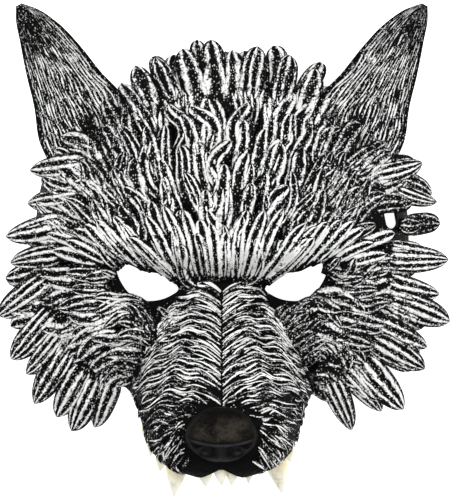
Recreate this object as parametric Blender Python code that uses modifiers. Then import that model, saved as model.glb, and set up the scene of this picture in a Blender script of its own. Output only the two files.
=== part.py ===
"""Werewolf half mask: a hollow moulded face with fur locks, ears, a nose and teeth.

The mask lies on its back rim with the face up.  X runs across the face, Y from the
lips to the brow, and Z from the rim to the nose.  All sizes are in metres.  While it
is modelled, X = 0 is the middle of the face and Y = 0 is the line of the eyes.
"""
import math

import bpy
import numpy as np
from mathutils import Vector

# Face shell, measured on its outer skin under the fur
FACE_HALF_WIDTH = 0.101
FACE_ABOVE = 0.094
FACE_BELOW = 0.088
FACE_CENTRE_Y = 0.018
FACE_DEPTH = 0.058
FACE_ROUNDNESS = 2.6
DOME_FLATNESS = 2.8
DOME_FALL = 0.62
SKIRT = 0.010
WALL = 0.0045
GAP = 0.0003

# Room left for seated pieces, in gaps: a grown copy's corners stand nearer than its faces
ROOM_GAPS = 1.6
EAR_ROOM_GAPS = 1.7

# Rim angles about the face centre, and how the rim draws in towards the mouth corners
RIM_FIRST_DEGREES = -62
RIM_LAST_DEGREES = 242
PULL_FROM_DEGREES = 126
PULL_OVER_DEGREES = 26
PULL_SHARE = 0.10
PULL_SKIRT = 0.7
RING_CROWDING = 1.35

# Eye line, brow and eye holes
VALLEY_DEPTH = 0.013
VALLEY_SPREAD = 0.014
VALLEY_REACH = 0.066
BROW_RISE = 0.005
BROW_SPREAD = 0.009
BROW_Y = 0.015
BROW_SLOPE = 0.22
EYE_INNER_X = 0.0225
EYE_WIDTH = 0.032
EYE_HEIGHT = 0.020
EYE_MID_Y = 0.002

# Muzzle, from the nose bridge down to the lip
MUZZLE_DROP = 0.093
MUZZLE_REACH = 0.113
MUZZLE_HALF_WIDTH = 0.047
MUZZLE_BLEND = 0.010
ARCH_FLATNESS = 2.2
ARCH_FALL = 0.56
BESIDE_FALL = 3
BRIDGE_Y = -0.008

# Strap slots through the temples
SLOT_WIDTH = 0.0065
SLOT_LENGTH = 0.0105
SLOT_INSET = 0.0120
SLOT_X = FACE_HALF_WIDTH - SLOT_INSET
SLOT_Y = 0.0355
SLOT_TURN_DEGREES = 12

# Fur locks
LOCK_LENGTH = 0.031
LOCK_WIDTH = 0.0125
LOCK_HEIGHT = 0.0048
LOCK_SINK = 0.0004
RIM_TIP_Z = 0.012
RIM_TIP_GAIN = 1.1
RIM_LOCK_STRETCH = 1.15
RIM_LOCK_ARCH = 0.6
INNER_LOCK_ARCH = 0.45
INNER_TIP_LIFT = 0.55

# Ears
EAR_LENGTH = 0.068
EAR_HALF_WIDTH = 0.0265
EAR_WALL = 0.0032
EAR_CUP = 0.011
EAR_PROUD = 0.0008
EAR_BELOW_TOP = 0.025
EAR_BASE_X = FACE_HALF_WIDTH - EAR_HALF_WIDTH
EAR_BASE_Y = FACE_CENTRE_Y + FACE_ABOVE - EAR_BELOW_TOP
EAR_BASE_Z = 0.0225
EAR_TIP_LIFT = 0.012
EAR_TURN_DEGREES = 62
EAR_CUP_POWER = 1.7
EAR_LIFT_POWER = 1.5

# Nose
NOSE_HALF_WIDTH = 0.0178
NOSE_HALF_HEIGHT = 0.0105
NOSE_HALF_DEPTH = 0.0115
NOSE_ABOVE_LIP = 0.0220
NOSE_SET_BACK = 0.0053
NOSE_Y = NOSE_ABOVE_LIP - MUZZLE_DROP
NOSE_Z = MUZZLE_REACH - NOSE_SET_BACK
NOSE_SINK = 0.0016
NOSE_SQUARENESS = 2.7
NOSE_TOP_TAPER = 0.16
NOSE_FOOT_TAPER = 0.22
NOSE_FRONT_GAIN = 0.34
NOSTRIL_RADIUS = 0.0042
NOSTRIL_X = 0.0095
NOSTRIL_DOWN = 0.72
NOSTRIL_FORWARD = 0.60
NOSTRIL_STRETCH = (1.25, 0.75, 0.90)

# Teeth
CANINE_LENGTH = 0.0200
CANINE_WIDTH = 0.0092
INCISOR_LENGTH = 0.0115
INCISOR_WIDTH = 0.0055
SIDE_TOOTH_LENGTH = 0.0095
SIDE_TOOTH_WIDTH = 0.0064
TOOTH_SIDES = 8
TOOTH_ROOT = 0.28
TOOTH_BEHIND_LIP = 0.95 * WALL
TOOTH_SET_DOWN = 0.55
TOOTH_BACKWARD = 0.10
TOOTH_ARCH = 0.05
MOUTH_MIDDLE = 0.62 * MUZZLE_DROP

# Mesh fineness
RIM_COLUMNS = 38
LIP_COLUMNS = 18
FACE_RINGS = 12
EAR_LENGTH_ROWS = 10
EAR_WIDTH_COLUMNS = 9

# Muzzle sections: distance down as a share of MUZZLE_DROP, height of the ridge and of
# the edge as shares of MUZZLE_REACH, and half width as a share of MUZZLE_HALF_WIDTH
MUZZLE_COLUMNS = ("down", "ridge", "edge", "half")
MUZZLE_ROWS = (
    (-0.10, 0.360, 0.330, 0.25),
    (0.05, 0.400, 0.340, 0.45),
    (0.16, 0.470, 0.330, 0.62),
    (0.28, 0.585, 0.310, 0.76),
    (0.42, 0.730, 0.280, 0.89),
    (0.55, 0.860, 0.250, 0.98),
    (0.61, 0.910, 0.260, 1.00),
    (0.66, 0.945, 0.420, 0.93),
    (0.75, 0.980, 0.580, 0.86),
    (0.84, 0.985, 0.710, 0.78),
    (0.92, 0.960, 0.800, 0.65),
    (0.97, 0.930, 0.855, 0.47),
    (1.00, 0.905, 0.890, 0.24),
)

# Lip line from the mouth corner to the notch under the nose: share of
# MUZZLE_HALF_WIDTH to the side and share of MUZZLE_DROP down
LIP_COLUMNS_NAMED = ("side", "down")
LIP_ROWS = (
    (1.00, 0.61),
    (0.93, 0.66),
    (0.86, 0.75),
    (0.78, 0.84),
    (0.65, 0.92),
    (0.47, 0.97),
    (0.24, 1.00),
    (0.00, 0.945),
)

# Eye hole outline: share of EYE_WIDTH outward from the inner corner and share of
# EYE_HEIGHT above the middle
EYE_OUTLINE = (
    (0.00, -0.15),
    (0.17, 0.10),
    (0.34, 0.24),
    (0.56, 0.29),
    (0.74, 0.43),
    (0.90, 0.50),
    (1.00, 0.36),
    (0.95, 0.05),
    (0.80, -0.28),
    (0.58, -0.46),
    (0.34, -0.46),
    (0.13, -0.34),
)

# Rim locks: side, angle about the face centre in degrees, reach past the rim and size
# as shares of LOCK_LENGTH, and lean from straight outwards in degrees
RIM_LOCK_COLUMNS = ("angle", "reach", "size", "lean")
RIM_LOCKS = (
    (24, 0.36, 0.90, -9),
    (14, 0.50, 0.95, -12),
    (3, 0.30, 0.85, -10),
    (-2, 0.62, 1.05, 0),
    (-11, 0.50, 0.95, -4),
    (-17, 0.76, 1.10, -4),
    (-25, 0.52, 0.95, -1),
    (-30, 0.66, 1.05, 2),
    (-41, 0.82, 1.15, -6),
    (-45, 0.60, 1.00, -4),
    (-54, 0.62, 1.00, -12),
    (-62, 0.36, 0.85, -14),
    (156, 0.30, 0.95, 28),
    (165, 0.26, 1.00, 22),
    (176, 0.48, 1.05, 18),
    (183, 0.36, 0.90, 6),
    (196, 0.66, 1.10, 19),
    (207, 0.70, 1.10, 19),
    (212, 0.60, 0.95, 16),
    (219, 0.82, 1.15, 18),
    (225, 0.74, 1.00, 11),
    (231, 0.76, 1.05, 11),
    (239, 0.50, 0.95, 12),
    (115, 0.28, 0.85, -2),
    (109, 0.34, 0.85, 4),
    (101, 0.44, 0.95, 7),
    (93, 0.58, 1.00, 3),
    (87, 0.40, 0.90, -3),
    (80, 0.48, 0.95, 2),
    (71, 0.40, 0.90, 4),
    (63, 0.26, 0.85, 8),
)

# Inner locks: angle about the nose bridge in degrees, share of the way from the bridge
# to the rim where the tip lies, and size as a share of LOCK_LENGTH
INNER_LOCK_COLUMNS = ("angle", "way", "size")
INNER_LOCKS = (
    (110, 0.86, 0.95),
    (103, 0.92, 1.00),
    (95, 0.84, 0.95),
    (85, 0.80, 1.00),
    (77, 0.90, 1.00),
    (67, 0.84, 0.95),
    (106, 0.72, 1.00),
    (98, 0.67, 1.00),
    (90, 0.66, 1.00),
    (75, 0.72, 1.00),
    (61, 0.76, 1.00),
    (114, 0.62, 1.00),
    (83, 0.54, 0.95),
    (68, 0.60, 1.00),
    (97, 0.50, 1.00),
    (126, 0.76, 1.00),
    (131, 0.58, 1.00),
    (53, 0.72, 1.00),
    (48, 0.54, 1.00),
    (107, 0.42, 0.90),
    (73, 0.40, 0.90),
    (139, 0.86, 0.95),
    (143, 0.66, 1.00),
    (41, 0.86, 0.95),
    (38, 0.66, 1.00),
    (148, 0.80, 1.00),
    (160, 0.84, 1.05),
    (171, 0.84, 1.05),
    (181, 0.86, 1.05),
    (191, 0.84, 1.05),
    (201, 0.86, 1.00),
    (211, 0.88, 1.00),
    (32, 0.80, 1.00),
    (20, 0.84, 1.05),
    (9, 0.84, 1.05),
    (-1, 0.86, 1.05),
    (-11, 0.84, 1.05),
    (-21, 0.86, 1.00),
    (-31, 0.88, 1.00),
)

# Lock outline across, as shares of its width and of its height
LOCK_PROFILE = np.array([
    (-0.50, 0.00),
    (-0.28, 0.62),
    (0.00, 1.00),
    (0.28, 0.62),
    (0.50, 0.00),
    (0.00, -0.85),
])

# Lock sections: share of the way from its root to its tip, width as a share of the
# lock's own width, and height as a share of LOCK_HEIGHT
LOCK_SECTION_COLUMNS = ("way", "width", "height")
LOCK_SECTIONS = (
    (0.00, 0.62, 0.70),
    (0.34, 1.00, 1.00),
    (0.68, 0.80, 0.80),
)

# Tooth sections: share of the way from its root to its tip, then width and depth as
# shares of the tooth's own width
TOOTH_SECTION_COLUMNS = ("way", "width", "depth")
TOOTH_SECTIONS = (
    (0.00, 0.80, 0.72),
    (0.35, 1.00, 0.85),
    (0.72, 0.58, 0.52),
)

# Ear outline: share of EAR_LENGTH along the ear, then the inner and the outer half
# width as shares of EAR_HALF_WIDTH, and the cup's depth as a share of EAR_CUP
EAR_COLUMNS = ("along", "inner", "outer", "cup")
EAR_ROWS = (
    (-0.22, 0.92, 0.94, 0.70),
    (0.00, 0.98, 1.00, 1.00),
    (0.25, 0.82, 0.74, 1.00),
    (0.50, 0.70, 0.50, 0.85),
    (0.74, 0.52, 0.31, 0.60),
    (0.91, 0.28, 0.17, 0.35),
    (1.00, 0.07, 0.05, 0.10),
)

# Teeth: name, kind, share of the way round the lip from the left mouth corner to the
# right one, size as a share of that kind's length and width, and lean of the tip away
# from the middle as a share of the tooth's length
TOOTH_COLUMNS = ("name", "kind", "way", "size", "lean")
TEETH = (
    ("canine_left", "canine", 0.345, 1.05, 0.10),
    ("canine_right", "canine", 0.690, 1.00, 0.20),
    ("incisor_1", "incisor", 0.437, 1.05, -0.08),
    ("incisor_2", "incisor", 0.490, 1.12, -0.08),
    ("incisor_3", "incisor", 0.543, 0.95, -0.08),
    ("incisor_4", "incisor", 0.602, 0.75, -0.08),
    ("side_tooth_left_1", "side", 0.285, 0.95, -0.08),
    ("side_tooth_left_2", "side", 0.222, 0.85, -0.08),
    ("side_tooth_left_3", "side", 0.160, 0.80, -0.08),
    ("side_tooth_right_1", "side", 0.756, 0.90, -0.08),
)


def clear_scene():
    """Remove every object that the file holds."""
    for old in list(bpy.data.objects):
        bpy.data.objects.remove(old, do_unlink=True)


def new_collection(name):
    """Collection of this name under the scene's own."""
    made = bpy.data.collections.new(name)
    bpy.context.scene.collection.children.link(made)
    return made


def new_material(name, colour, roughness):
    """Principled material of one colour and roughness, not metallic."""
    made = bpy.data.materials.new(name)
    made.use_nodes = True
    shader = made.node_tree.nodes["Principled BSDF"]
    shader.inputs["Base Color"].default_value = (*colour, 1.0)
    shader.inputs["Roughness"].default_value = roughness
    shader.inputs["Metallic"].default_value = 0.0
    return made


def curve_through(stations, values, at):
    """Values at the given stations, on a smooth curve through a table's rows."""
    stations = np.asarray(stations, dtype=float)
    values = np.asarray(values, dtype=float)
    slopes = np.gradient(values, stations)
    at = np.clip(at, stations[0], stations[-1])
    row = np.clip(np.searchsorted(stations, at, side="right") - 1, 0, len(stations) - 2)
    width = stations[row + 1] - stations[row]
    t = (at - stations[row]) / width
    start = (1 + 2 * t) * (1 - t) ** 2 * values[row] + t * (1 - t) ** 2 * width * slopes[row]
    end = t * t * (3 - 2 * t) * values[row + 1] - t * t * (1 - t) * width * slopes[row + 1]
    return start + end


def table_column(rows, index):
    """One column of a table as an array."""
    return np.array([row[index] for row in rows], dtype=float)


def face_share(x, y):
    """Distance from the face centre as a share of the way to the rim."""
    rise = y - FACE_CENTRE_Y
    reach = np.where(rise > 0, FACE_ABOVE, FACE_BELOW)
    across = np.abs(x / FACE_HALF_WIDTH) ** FACE_ROUNDNESS
    along = np.abs(rise / reach) ** FACE_ROUNDNESS
    return (across + along) ** (1 / FACE_ROUNDNESS)


def dome_height(x, y):
    """Height of the face without its muzzle: a dome with an eye valley and a brow."""
    share = np.clip(face_share(x, y), 0, 1)
    dome = FACE_DEPTH * (1 - share ** DOME_FLATNESS) ** DOME_FALL
    fade = np.exp(-(x / VALLEY_REACH) ** 4)
    valley = VALLEY_DEPTH * np.exp(-(y / VALLEY_SPREAD) ** 2)
    brow_line = BROW_Y + BROW_SLOPE * np.abs(x)
    brow = BROW_RISE * np.exp(-((y - brow_line) / BROW_SPREAD) ** 2)
    return dome + fade * (brow - valley)


def muzzle_height(x, y):
    """Height of the muzzle: an arch across each section, falling away past its edge."""
    down = -y / MUZZLE_DROP
    stations = table_column(MUZZLE_ROWS, 0)
    ridge = MUZZLE_REACH * curve_through(stations, table_column(MUZZLE_ROWS, 1), down)
    edge = MUZZLE_REACH * curve_through(stations, table_column(MUZZLE_ROWS, 2), down)
    half = MUZZLE_HALF_WIDTH * curve_through(stations, table_column(MUZZLE_ROWS, 3), down)
    side = np.abs(x) / half
    arch = (1 - np.clip(side, 0, 1) ** ARCH_FLATNESS) ** ARCH_FALL
    past_edge = np.clip(side - 1, 0, None) * half * BESIDE_FALL
    past_top = np.clip(stations[0] - down, 0, None) * MUZZLE_DROP
    return edge + (ridge - edge) * arch - past_edge - past_top


def skin_height(x, y):
    """Height of the outer skin: the dome and the muzzle, blended where they meet."""
    dome = dome_height(x, y)
    muzzle = muzzle_height(x, y)
    near = np.clip(MUZZLE_BLEND - np.abs(dome - muzzle), 0, None) / MUZZLE_BLEND
    return np.maximum(dome, muzzle) + near ** 2 * MUZZLE_BLEND / 4


def skin_point(x, y, rise=0.0):
    """Point of the skin over a place in the face plane, raised by a length."""
    return np.array([x, y, float(skin_height(np.float64(x), np.float64(y))) + rise])


def rim_points(degrees, share=1.0):
    """Places on the rim at angles of the rounded outline, in the face plane."""
    angle = np.radians(degrees)
    power = 2 / FACE_ROUNDNESS
    reach = np.where(np.sin(angle) > 0, FACE_ABOVE, FACE_BELOW)
    x = FACE_HALF_WIDTH * np.sign(np.cos(angle)) * np.abs(np.cos(angle)) ** power
    y = reach * np.sign(np.sin(angle)) * np.abs(np.sin(angle)) ** power
    return share * x, FACE_CENTRE_Y + share * y


def lip_points(way):
    """Places on the lip line, from 0 at the left mouth corner to 1 at the right one."""
    rows = len(LIP_ROWS) - 1
    station = rows * (1 - np.abs(2 * way - 1))
    side = curve_through(np.arange(rows + 1), table_column(LIP_ROWS, 0), station)
    down = curve_through(np.arange(rows + 1), table_column(LIP_ROWS, 1), station)
    return np.sign(way - 0.5) * side * MUZZLE_HALF_WIDTH, -down * MUZZLE_DROP


def add_mesh(name, points, faces, collection, material=None):
    """Mesh object with these points and faces, shaded smooth."""
    mesh = bpy.data.meshes.new(name)
    mesh.from_pydata([tuple(point) for point in points], [], faces)
    mesh.validate()
    mesh.shade_smooth()
    made = bpy.data.objects.new(name, mesh)
    collection.objects.link(made)
    if material:
        mesh.materials.append(material)
    return made


def loft_faces(rings, size, wrap=True):
    """Quads between rings of equal size, each ring seen turning left from its tip."""
    faces = []
    for ring in range(rings - 1):
        for step in range(size if wrap else size - 1):
            a = ring * size + step
            b = ring * size + (step + 1) % size
            faces.append((a, b, b + size, a + size))
    return faces


def pointed_loft(name, rings, tip, collection, material=None):
    """Closed loft: a flat cap on the first ring, quads between rings and a pointed tip."""
    count, size = rings.shape[:2]
    faces = loft_faces(count, size)
    faces.append(tuple(reversed(range(size))))
    last = (count - 1) * size
    for step in range(size):
        faces.append((last + step, last + (step + 1) % size, count * size))
    points = np.vstack([rings.reshape(-1, 3), tip])
    return add_mesh(name, points, faces, collection, material)


def swept_rings(centres, side, up, profile, sizes):
    """Rings of a profile carried along centres, scaled by a (width, height) for each."""
    rings = []
    for centre, (width, height) in zip(centres, sizes):
        ring = centre + profile[:, :1] * width * side + profile[:, 1:] * height * up
        rings.append(ring)
    return np.array(rings)


def add_modifier(owner, kind, name, **settings):
    """Modifier of a kind with its settings."""
    made = owner.modifiers.new(name, kind)
    for key, value in settings.items():
        setattr(made, key, value)
    return made


def as_guide(owner):
    """Mark an object that only shapes others."""
    owner.hide_render = True
    owner.display_type = "WIRE"
    return owner


def add_room(owner, collection):
    """Copy of a piece grown by the gap, which leaves room for it in the shell."""
    room = bpy.data.objects.new("room_" + owner.name, owner.data)
    collection.objects.link(room)
    add_modifier(room, "DISPLACE", "gap", strength=ROOM_GAPS * GAP, mid_level=0.0)
    return as_guide(room)


def make_face_shell(collection, material):
    """Outer skin as rays from the nose bridge to the rim and the lip, given a wall."""
    degrees = np.linspace(RIM_FIRST_DEGREES, RIM_LAST_DEGREES, RIM_COLUMNS)
    pull = np.clip((np.abs(degrees - 90) - PULL_FROM_DEGREES) / PULL_OVER_DEGREES, 0, 1)
    rim_x, rim_y = rim_points(degrees, 1 - PULL_SHARE * pull ** 2 * (3 - 2 * pull))
    lip_x, lip_y = lip_points(np.linspace(0, 1, LIP_COLUMNS))
    edge_x = np.concatenate([rim_x, lip_x])
    edge_y = np.concatenate([rim_y, lip_y])
    drop = np.concatenate([SKIRT * (1 - PULL_SKIRT * pull), np.zeros(LIP_COLUMNS)])
    steps = np.arange(1, FACE_RINGS + 1) / FACE_RINGS
    way = 1 - (1 - steps) ** RING_CROWDING
    x = way[:, None] * edge_x
    y = BRIDGE_Y + way[:, None] * (edge_y - BRIDGE_Y)
    z = skin_height(x, y)
    z[-1] -= drop
    rings = np.stack([x, y, z], axis=-1)
    points = np.vstack([rings.reshape(-1, 3), skin_point(0.0, BRIDGE_Y)])
    columns = len(edge_x)
    pole = FACE_RINGS * columns
    faces = [tuple(reversed(face)) for face in loft_faces(FACE_RINGS, columns)]
    faces += [(step, (step + 1) % columns, pole) for step in range(columns)]
    shell = add_mesh("mask_shell", points, faces, collection, material)
    add_modifier(shell, "SOLIDIFY", "wall", thickness=WALL, offset=-1.0, use_rim=True)
    return shell


def make_lock(name, root, middle, tip, size, collection):
    """Leaf-shaped lock of fur: three sections along a bent line, then a point."""
    centres = bent_line(root, middle, tip, table_column(LOCK_SECTIONS, 0))
    along = (tip - root) / np.linalg.norm(tip - root)
    side = np.cross(along, (0.0, 0.0, 1.0))
    side /= np.linalg.norm(side)
    up = np.cross(side, along)
    sizes = [(LOCK_WIDTH * size * wide, LOCK_HEIGHT * high) for way, wide, high in LOCK_SECTIONS]
    rings = swept_rings(centres, side, up, LOCK_PROFILE, sizes)
    return as_guide(pointed_loft(name, rings, tip, collection))


def bent_line(root, middle, tip, ways):
    """Places at shares of the way along a line from root to tip, bent towards middle."""
    return [(1 - t) ** 2 * root + 2 * t * (1 - t) * middle + t * t * tip for t in ways]


def make_rim_locks(collection):
    """Locks that stand out past the rim and make the mask's outline."""
    for number, (angle, reach, size, lean) in enumerate(RIM_LOCKS):
        out = np.array([math.cos(math.radians(angle)), math.sin(math.radians(angle))])
        rim = 1 / float(face_share(out[0], out[1] + FACE_CENTRE_Y))
        end = (rim + reach * LOCK_LENGTH) * out + (0.0, FACE_CENTRE_Y)
        turn = math.radians(angle + lean)
        length = RIM_LOCK_STRETCH * size * LOCK_LENGTH
        start = end - length * np.array([math.cos(turn), math.sin(turn)])
        half = (start + end) / 2
        high = 0.5 * (1 + math.sin(math.radians(angle)))
        tip = np.array([*end, RIM_TIP_Z * (1 + RIM_TIP_GAIN * high)])
        root = skin_point(*start, -LOCK_SINK)
        arched = max(skin_point(*half)[2], tip[2]) + RIM_LOCK_ARCH * LOCK_HEIGHT
        middle = np.array([*half, arched])
        make_lock(f"rim_lock_{number}", root, middle, tip, size, collection)


def make_inner_locks(collection):
    """Locks of the forehead and the cheeks, lying outwards from the nose bridge."""
    for number, (angle, way, size) in enumerate(INNER_LOCKS):
        out = np.array([math.cos(math.radians(angle)), math.sin(math.radians(angle))])
        steps = np.linspace(0.0, 2 * FACE_HALF_WIDTH, 400)
        share = face_share(steps * out[0], BRIDGE_Y + steps * out[1])
        rim = float(np.interp(1.0, share[np.argmin(share):], steps[np.argmin(share):]))
        end = way * rim * out + (0.0, BRIDGE_Y)
        start = end - size * LOCK_LENGTH * out
        half = (start + end) / 2
        root = skin_point(*start, -LOCK_SINK)
        middle = skin_point(*half, INNER_LOCK_ARCH * LOCK_HEIGHT)
        tip = skin_point(*end, INNER_TIP_LIFT * LOCK_HEIGHT)
        make_lock(f"inner_lock_{number}", root, middle, tip, size, collection)


def make_eye_cutters(collection):
    """Flat outlines of the eye holes, made thick enough to pass the brow."""
    for name, side in (("eye_left", -1), ("eye_right", 1)):
        outline = []
        for across, rise in EYE_OUTLINE:
            x = EYE_INNER_X + across * EYE_WIDTH
            outline.append((side * x, EYE_MID_Y + rise * EYE_HEIGHT))
        add_prism(name + "_hole", outline, SKIRT, MUZZLE_REACH, collection)


def make_slot_cutters(collection):
    """Rounded slots for the strap, one through each temple."""
    turn = math.radians(SLOT_TURN_DEGREES)
    for name, side in (("slot_left", -1), ("slot_right", 1)):
        outline = []
        for degrees in range(0, 360, 30):
            angle = math.radians(degrees)
            end = 0.5 if degrees < 180 else -0.5
            x = 0.5 * SLOT_WIDTH * math.cos(angle)
            y = 0.5 * SLOT_WIDTH * math.sin(angle) + end * (SLOT_LENGTH - SLOT_WIDTH)
            turned_x = x * math.cos(turn) - y * math.sin(turn)
            turned_y = x * math.sin(turn) + y * math.cos(turn)
            outline.append((side * (SLOT_X + turned_x), SLOT_Y + turned_y))
        add_prism(name, outline, -2 * SKIRT, MUZZLE_REACH, collection)


def add_prism(name, outline, low, high, collection):
    """Closed prism over a flat outline between two heights, as a cutter."""
    following = outline[1:] + outline[:1]
    area = sum(a[0] * b[1] - b[0] * a[1] for a, b in zip(outline, following))
    if area < 0:
        outline = outline[::-1]
    size = len(outline)
    points = [(x, y, low) for x, y in outline] + [(x, y, high) for x, y in outline]
    faces = loft_faces(2, size)
    faces.append(tuple(reversed(range(size))))
    faces.append(tuple(range(size, 2 * size)))
    return as_guide(add_mesh(name, points, faces, collection))


def make_floor_cutter(collection):
    """Block below Z = 0 that gives the rim its flat back face."""
    depth = 10 * SKIRT
    bpy.ops.mesh.primitive_cube_add(size=1.0, location=(0.0, 0.0, -depth / 2))
    block = bpy.context.object
    block.name = "floor_block"
    block.scale = (5 * FACE_HALF_WIDTH, 5 * FACE_ABOVE, depth)
    for owner in list(block.users_collection):
        owner.objects.unlink(block)
    collection.objects.link(block)
    return as_guide(block)


def make_ear(name, side, grow, collection, material=None):
    """Hollow ear: a cupped sheet of even depth from under the fur to its tip.

    A grow above nothing widens it on every side, which gives the room that it needs.
    """
    along_rows = table_column(EAR_ROWS, 0)
    along = np.linspace(along_rows[0], 1.0, EAR_LENGTH_ROWS)
    inner = EAR_HALF_WIDTH * curve_through(along_rows, table_column(EAR_ROWS, 1), along) + grow
    outer = EAR_HALF_WIDTH * curve_through(along_rows, table_column(EAR_ROWS, 2), along) + grow
    cup = EAR_CUP * curve_through(along_rows, table_column(EAR_ROWS, 3), along)
    across = np.linspace(-1, 1, EAR_WIDTH_COLUMNS)
    offset = np.where(across[None, :] > 0, inner[:, None], outer[:, None]) * across
    depth = cup[:, None] * np.abs(across) ** EAR_CUP_POWER
    length = along * EAR_LENGTH
    length[0] -= grow
    length[-1] += grow
    turn = math.radians(EAR_TURN_DEGREES)
    axis = np.array([math.cos(turn), math.sin(turn)])
    inward = np.array([-axis[1], axis[0]])
    x = EAR_BASE_X + length[:, None] * axis[0] + offset * inward[0]
    y = EAR_BASE_Y + length[:, None] * axis[1] + offset * inward[1]
    lift = EAR_TIP_LIFT * np.clip(along, 0, 1)[:, None] ** EAR_LIFT_POWER
    z = np.maximum(EAR_BASE_Z + depth + lift, skin_height(x, y) + EAR_PROUD)
    top = np.stack([side * x, y, z + grow], axis=-1)
    bottom = np.stack([side * x, y, z - EAR_WALL - grow], axis=-1)
    return closed_sheet(name, top, bottom, side > 0, collection, material)


def closed_sheet(name, top, bottom, flip, collection, material=None):
    """Solid between two grids of points that lie one above the other."""
    rows, size = top.shape[:2]
    count = rows * size
    upper = loft_faces(rows, size, wrap=False)
    faces = upper + [tuple(count + corner for corner in reversed(face)) for face in upper]
    border = list(range(size)) + [row * size + size - 1 for row in range(1, rows)]
    border += [(rows - 1) * size + step for step in range(size - 2, -1, -1)]
    border += [row * size for row in range(rows - 2, 0, -1)]
    for here, there in zip(border, border[1:] + border[:1]):
        faces.append((there, here, count + here, count + there))
    if flip:
        faces = [tuple(reversed(face)) for face in faces]
    points = np.vstack([top.reshape(-1, 3), bottom.reshape(-1, 3)])
    return add_mesh(name, points, faces, collection, material)


def make_nose(collection, material, cutters):
    """Nose pad: a rounded pad, fuller at its front edge, with two nostrils."""
    bpy.ops.mesh.primitive_uv_sphere_add(segments=20, ring_count=11, radius=1.0)
    nose = bpy.context.object
    nose.name = "nose_pad"
    nose.data.name = "nose_pad"
    count = len(nose.data.vertices)
    flat = np.empty(count * 3)
    nose.data.vertices.foreach_get("co", flat)
    x, y, z = flat.reshape(-1, 3).T
    powers = np.abs(np.stack([x, y, z])) ** NOSE_SQUARENESS
    squared = powers.sum(axis=0) ** (-1 / NOSE_SQUARENESS)
    x, y, z = x * squared, y * squared, z * squared
    wide = 1 - NOSE_TOP_TAPER * np.clip(y, 0, 1) - NOSE_FOOT_TAPER * np.clip(-y, 0, 1) ** 2
    front = NOSE_FRONT_GAIN * z * np.clip(-y, -0.5, 0.5)
    place_x = NOSE_HALF_WIDTH * x * wide
    place_y = NOSE_Y + NOSE_HALF_HEIGHT * y
    seat = skin_height(place_x, place_y) - NOSE_SINK
    place_z = np.maximum(NOSE_Z + NOSE_HALF_DEPTH * (z + front), seat)
    shaped = np.stack([place_x, place_y, place_z], axis=-1)
    nose.data.vertices.foreach_set("co", shaped.ravel())
    nose.data.materials.append(material)
    nose.data.shade_smooth()
    for owner in list(nose.users_collection):
        owner.objects.unlink(nose)
    collection.objects.link(nose)
    for name, side in (("nostril_left", -1), ("nostril_right", 1)):
        low = NOSE_Y - NOSTRIL_DOWN * NOSE_HALF_HEIGHT
        centre = (side * NOSTRIL_X, low, NOSE_Z + NOSTRIL_FORWARD * NOSE_HALF_DEPTH)
        bpy.ops.mesh.primitive_uv_sphere_add(segments=10, ring_count=6, radius=NOSTRIL_RADIUS,
                                             location=centre)
        dent = bpy.context.object
        dent.name = name
        dent.scale = NOSTRIL_STRETCH
        for owner in list(dent.users_collection):
            owner.objects.unlink(dent)
        cutters.objects.link(dent)
        as_guide(dent)
        add_modifier(nose, "BOOLEAN", name, operation="DIFFERENCE", object=dent, solver="EXACT")
    return nose


def make_tooth(name, kind, way, size, lean, collection, material):
    """Tooth rooted behind the lip: a cone of round sections on a bent line."""
    length, width = {
        "canine": (CANINE_LENGTH, CANINE_WIDTH),
        "incisor": (INCISOR_LENGTH, INCISOR_WIDTH),
        "side": (SIDE_TOOTH_LENGTH, SIDE_TOOTH_WIDTH),
    }[kind]
    length *= size
    width *= size
    edge_x, edge_y = lip_points(np.array([way]))
    x, y = float(edge_x[0]), float(edge_y[0])
    z = float(skin_height(np.float64(x), np.float64(y)))
    inward = np.array([-x, -MOUTH_MIDDLE - y, 0.0])
    inward /= np.linalg.norm(inward)
    seat = np.array([x, y, z - TOOTH_SET_DOWN * width]) + inward * TOOTH_BEHIND_LIP
    root = seat + length * np.array([0.0, TOOTH_ROOT, 0.0])
    tip = seat + length * np.array([lean * np.sign(x), TOOTH_ROOT - 1, -TOOTH_BACKWARD])
    middle = (root + tip) / 2 + length * np.array([0.0, 0.0, TOOTH_ARCH])
    angles = 2 * math.pi * np.arange(TOOTH_SIDES) / TOOTH_SIDES
    profile = 0.5 * np.stack([np.cos(angles), np.sin(angles)], axis=-1)
    centres = bent_line(root, middle, tip, table_column(TOOTH_SECTIONS, 0))
    sizes = [(width * wide, width * deep) for way, wide, deep in TOOTH_SECTIONS]
    side = np.array([1.0, 0.0, 0.0])
    up = np.array([0.0, 0.0, 1.0])
    rings = swept_rings(centres, side, up, profile, sizes)
    return pointed_loft(name, rings, tip, collection, material)


def shift_to_box_centre(parts):
    """Shift that centres the whole mask's box in X and Y and sets it on Z = 0."""
    bpy.context.view_layer.update()
    graph = bpy.context.evaluated_depsgraph_get()
    lows, highs = [], []
    for part in parts:
        shown = part.evaluated_get(graph)
        corners = np.array([shown.matrix_world @ Vector(corner) for corner in shown.bound_box])
        lows.append(corners.min(axis=0))
        highs.append(corners.max(axis=0))
    low = np.min(lows, axis=0)
    high = np.max(highs, axis=0)
    return Vector((-(low[0] + high[0]) / 2, -(low[1] + high[1]) / 2, -low[2]))


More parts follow.
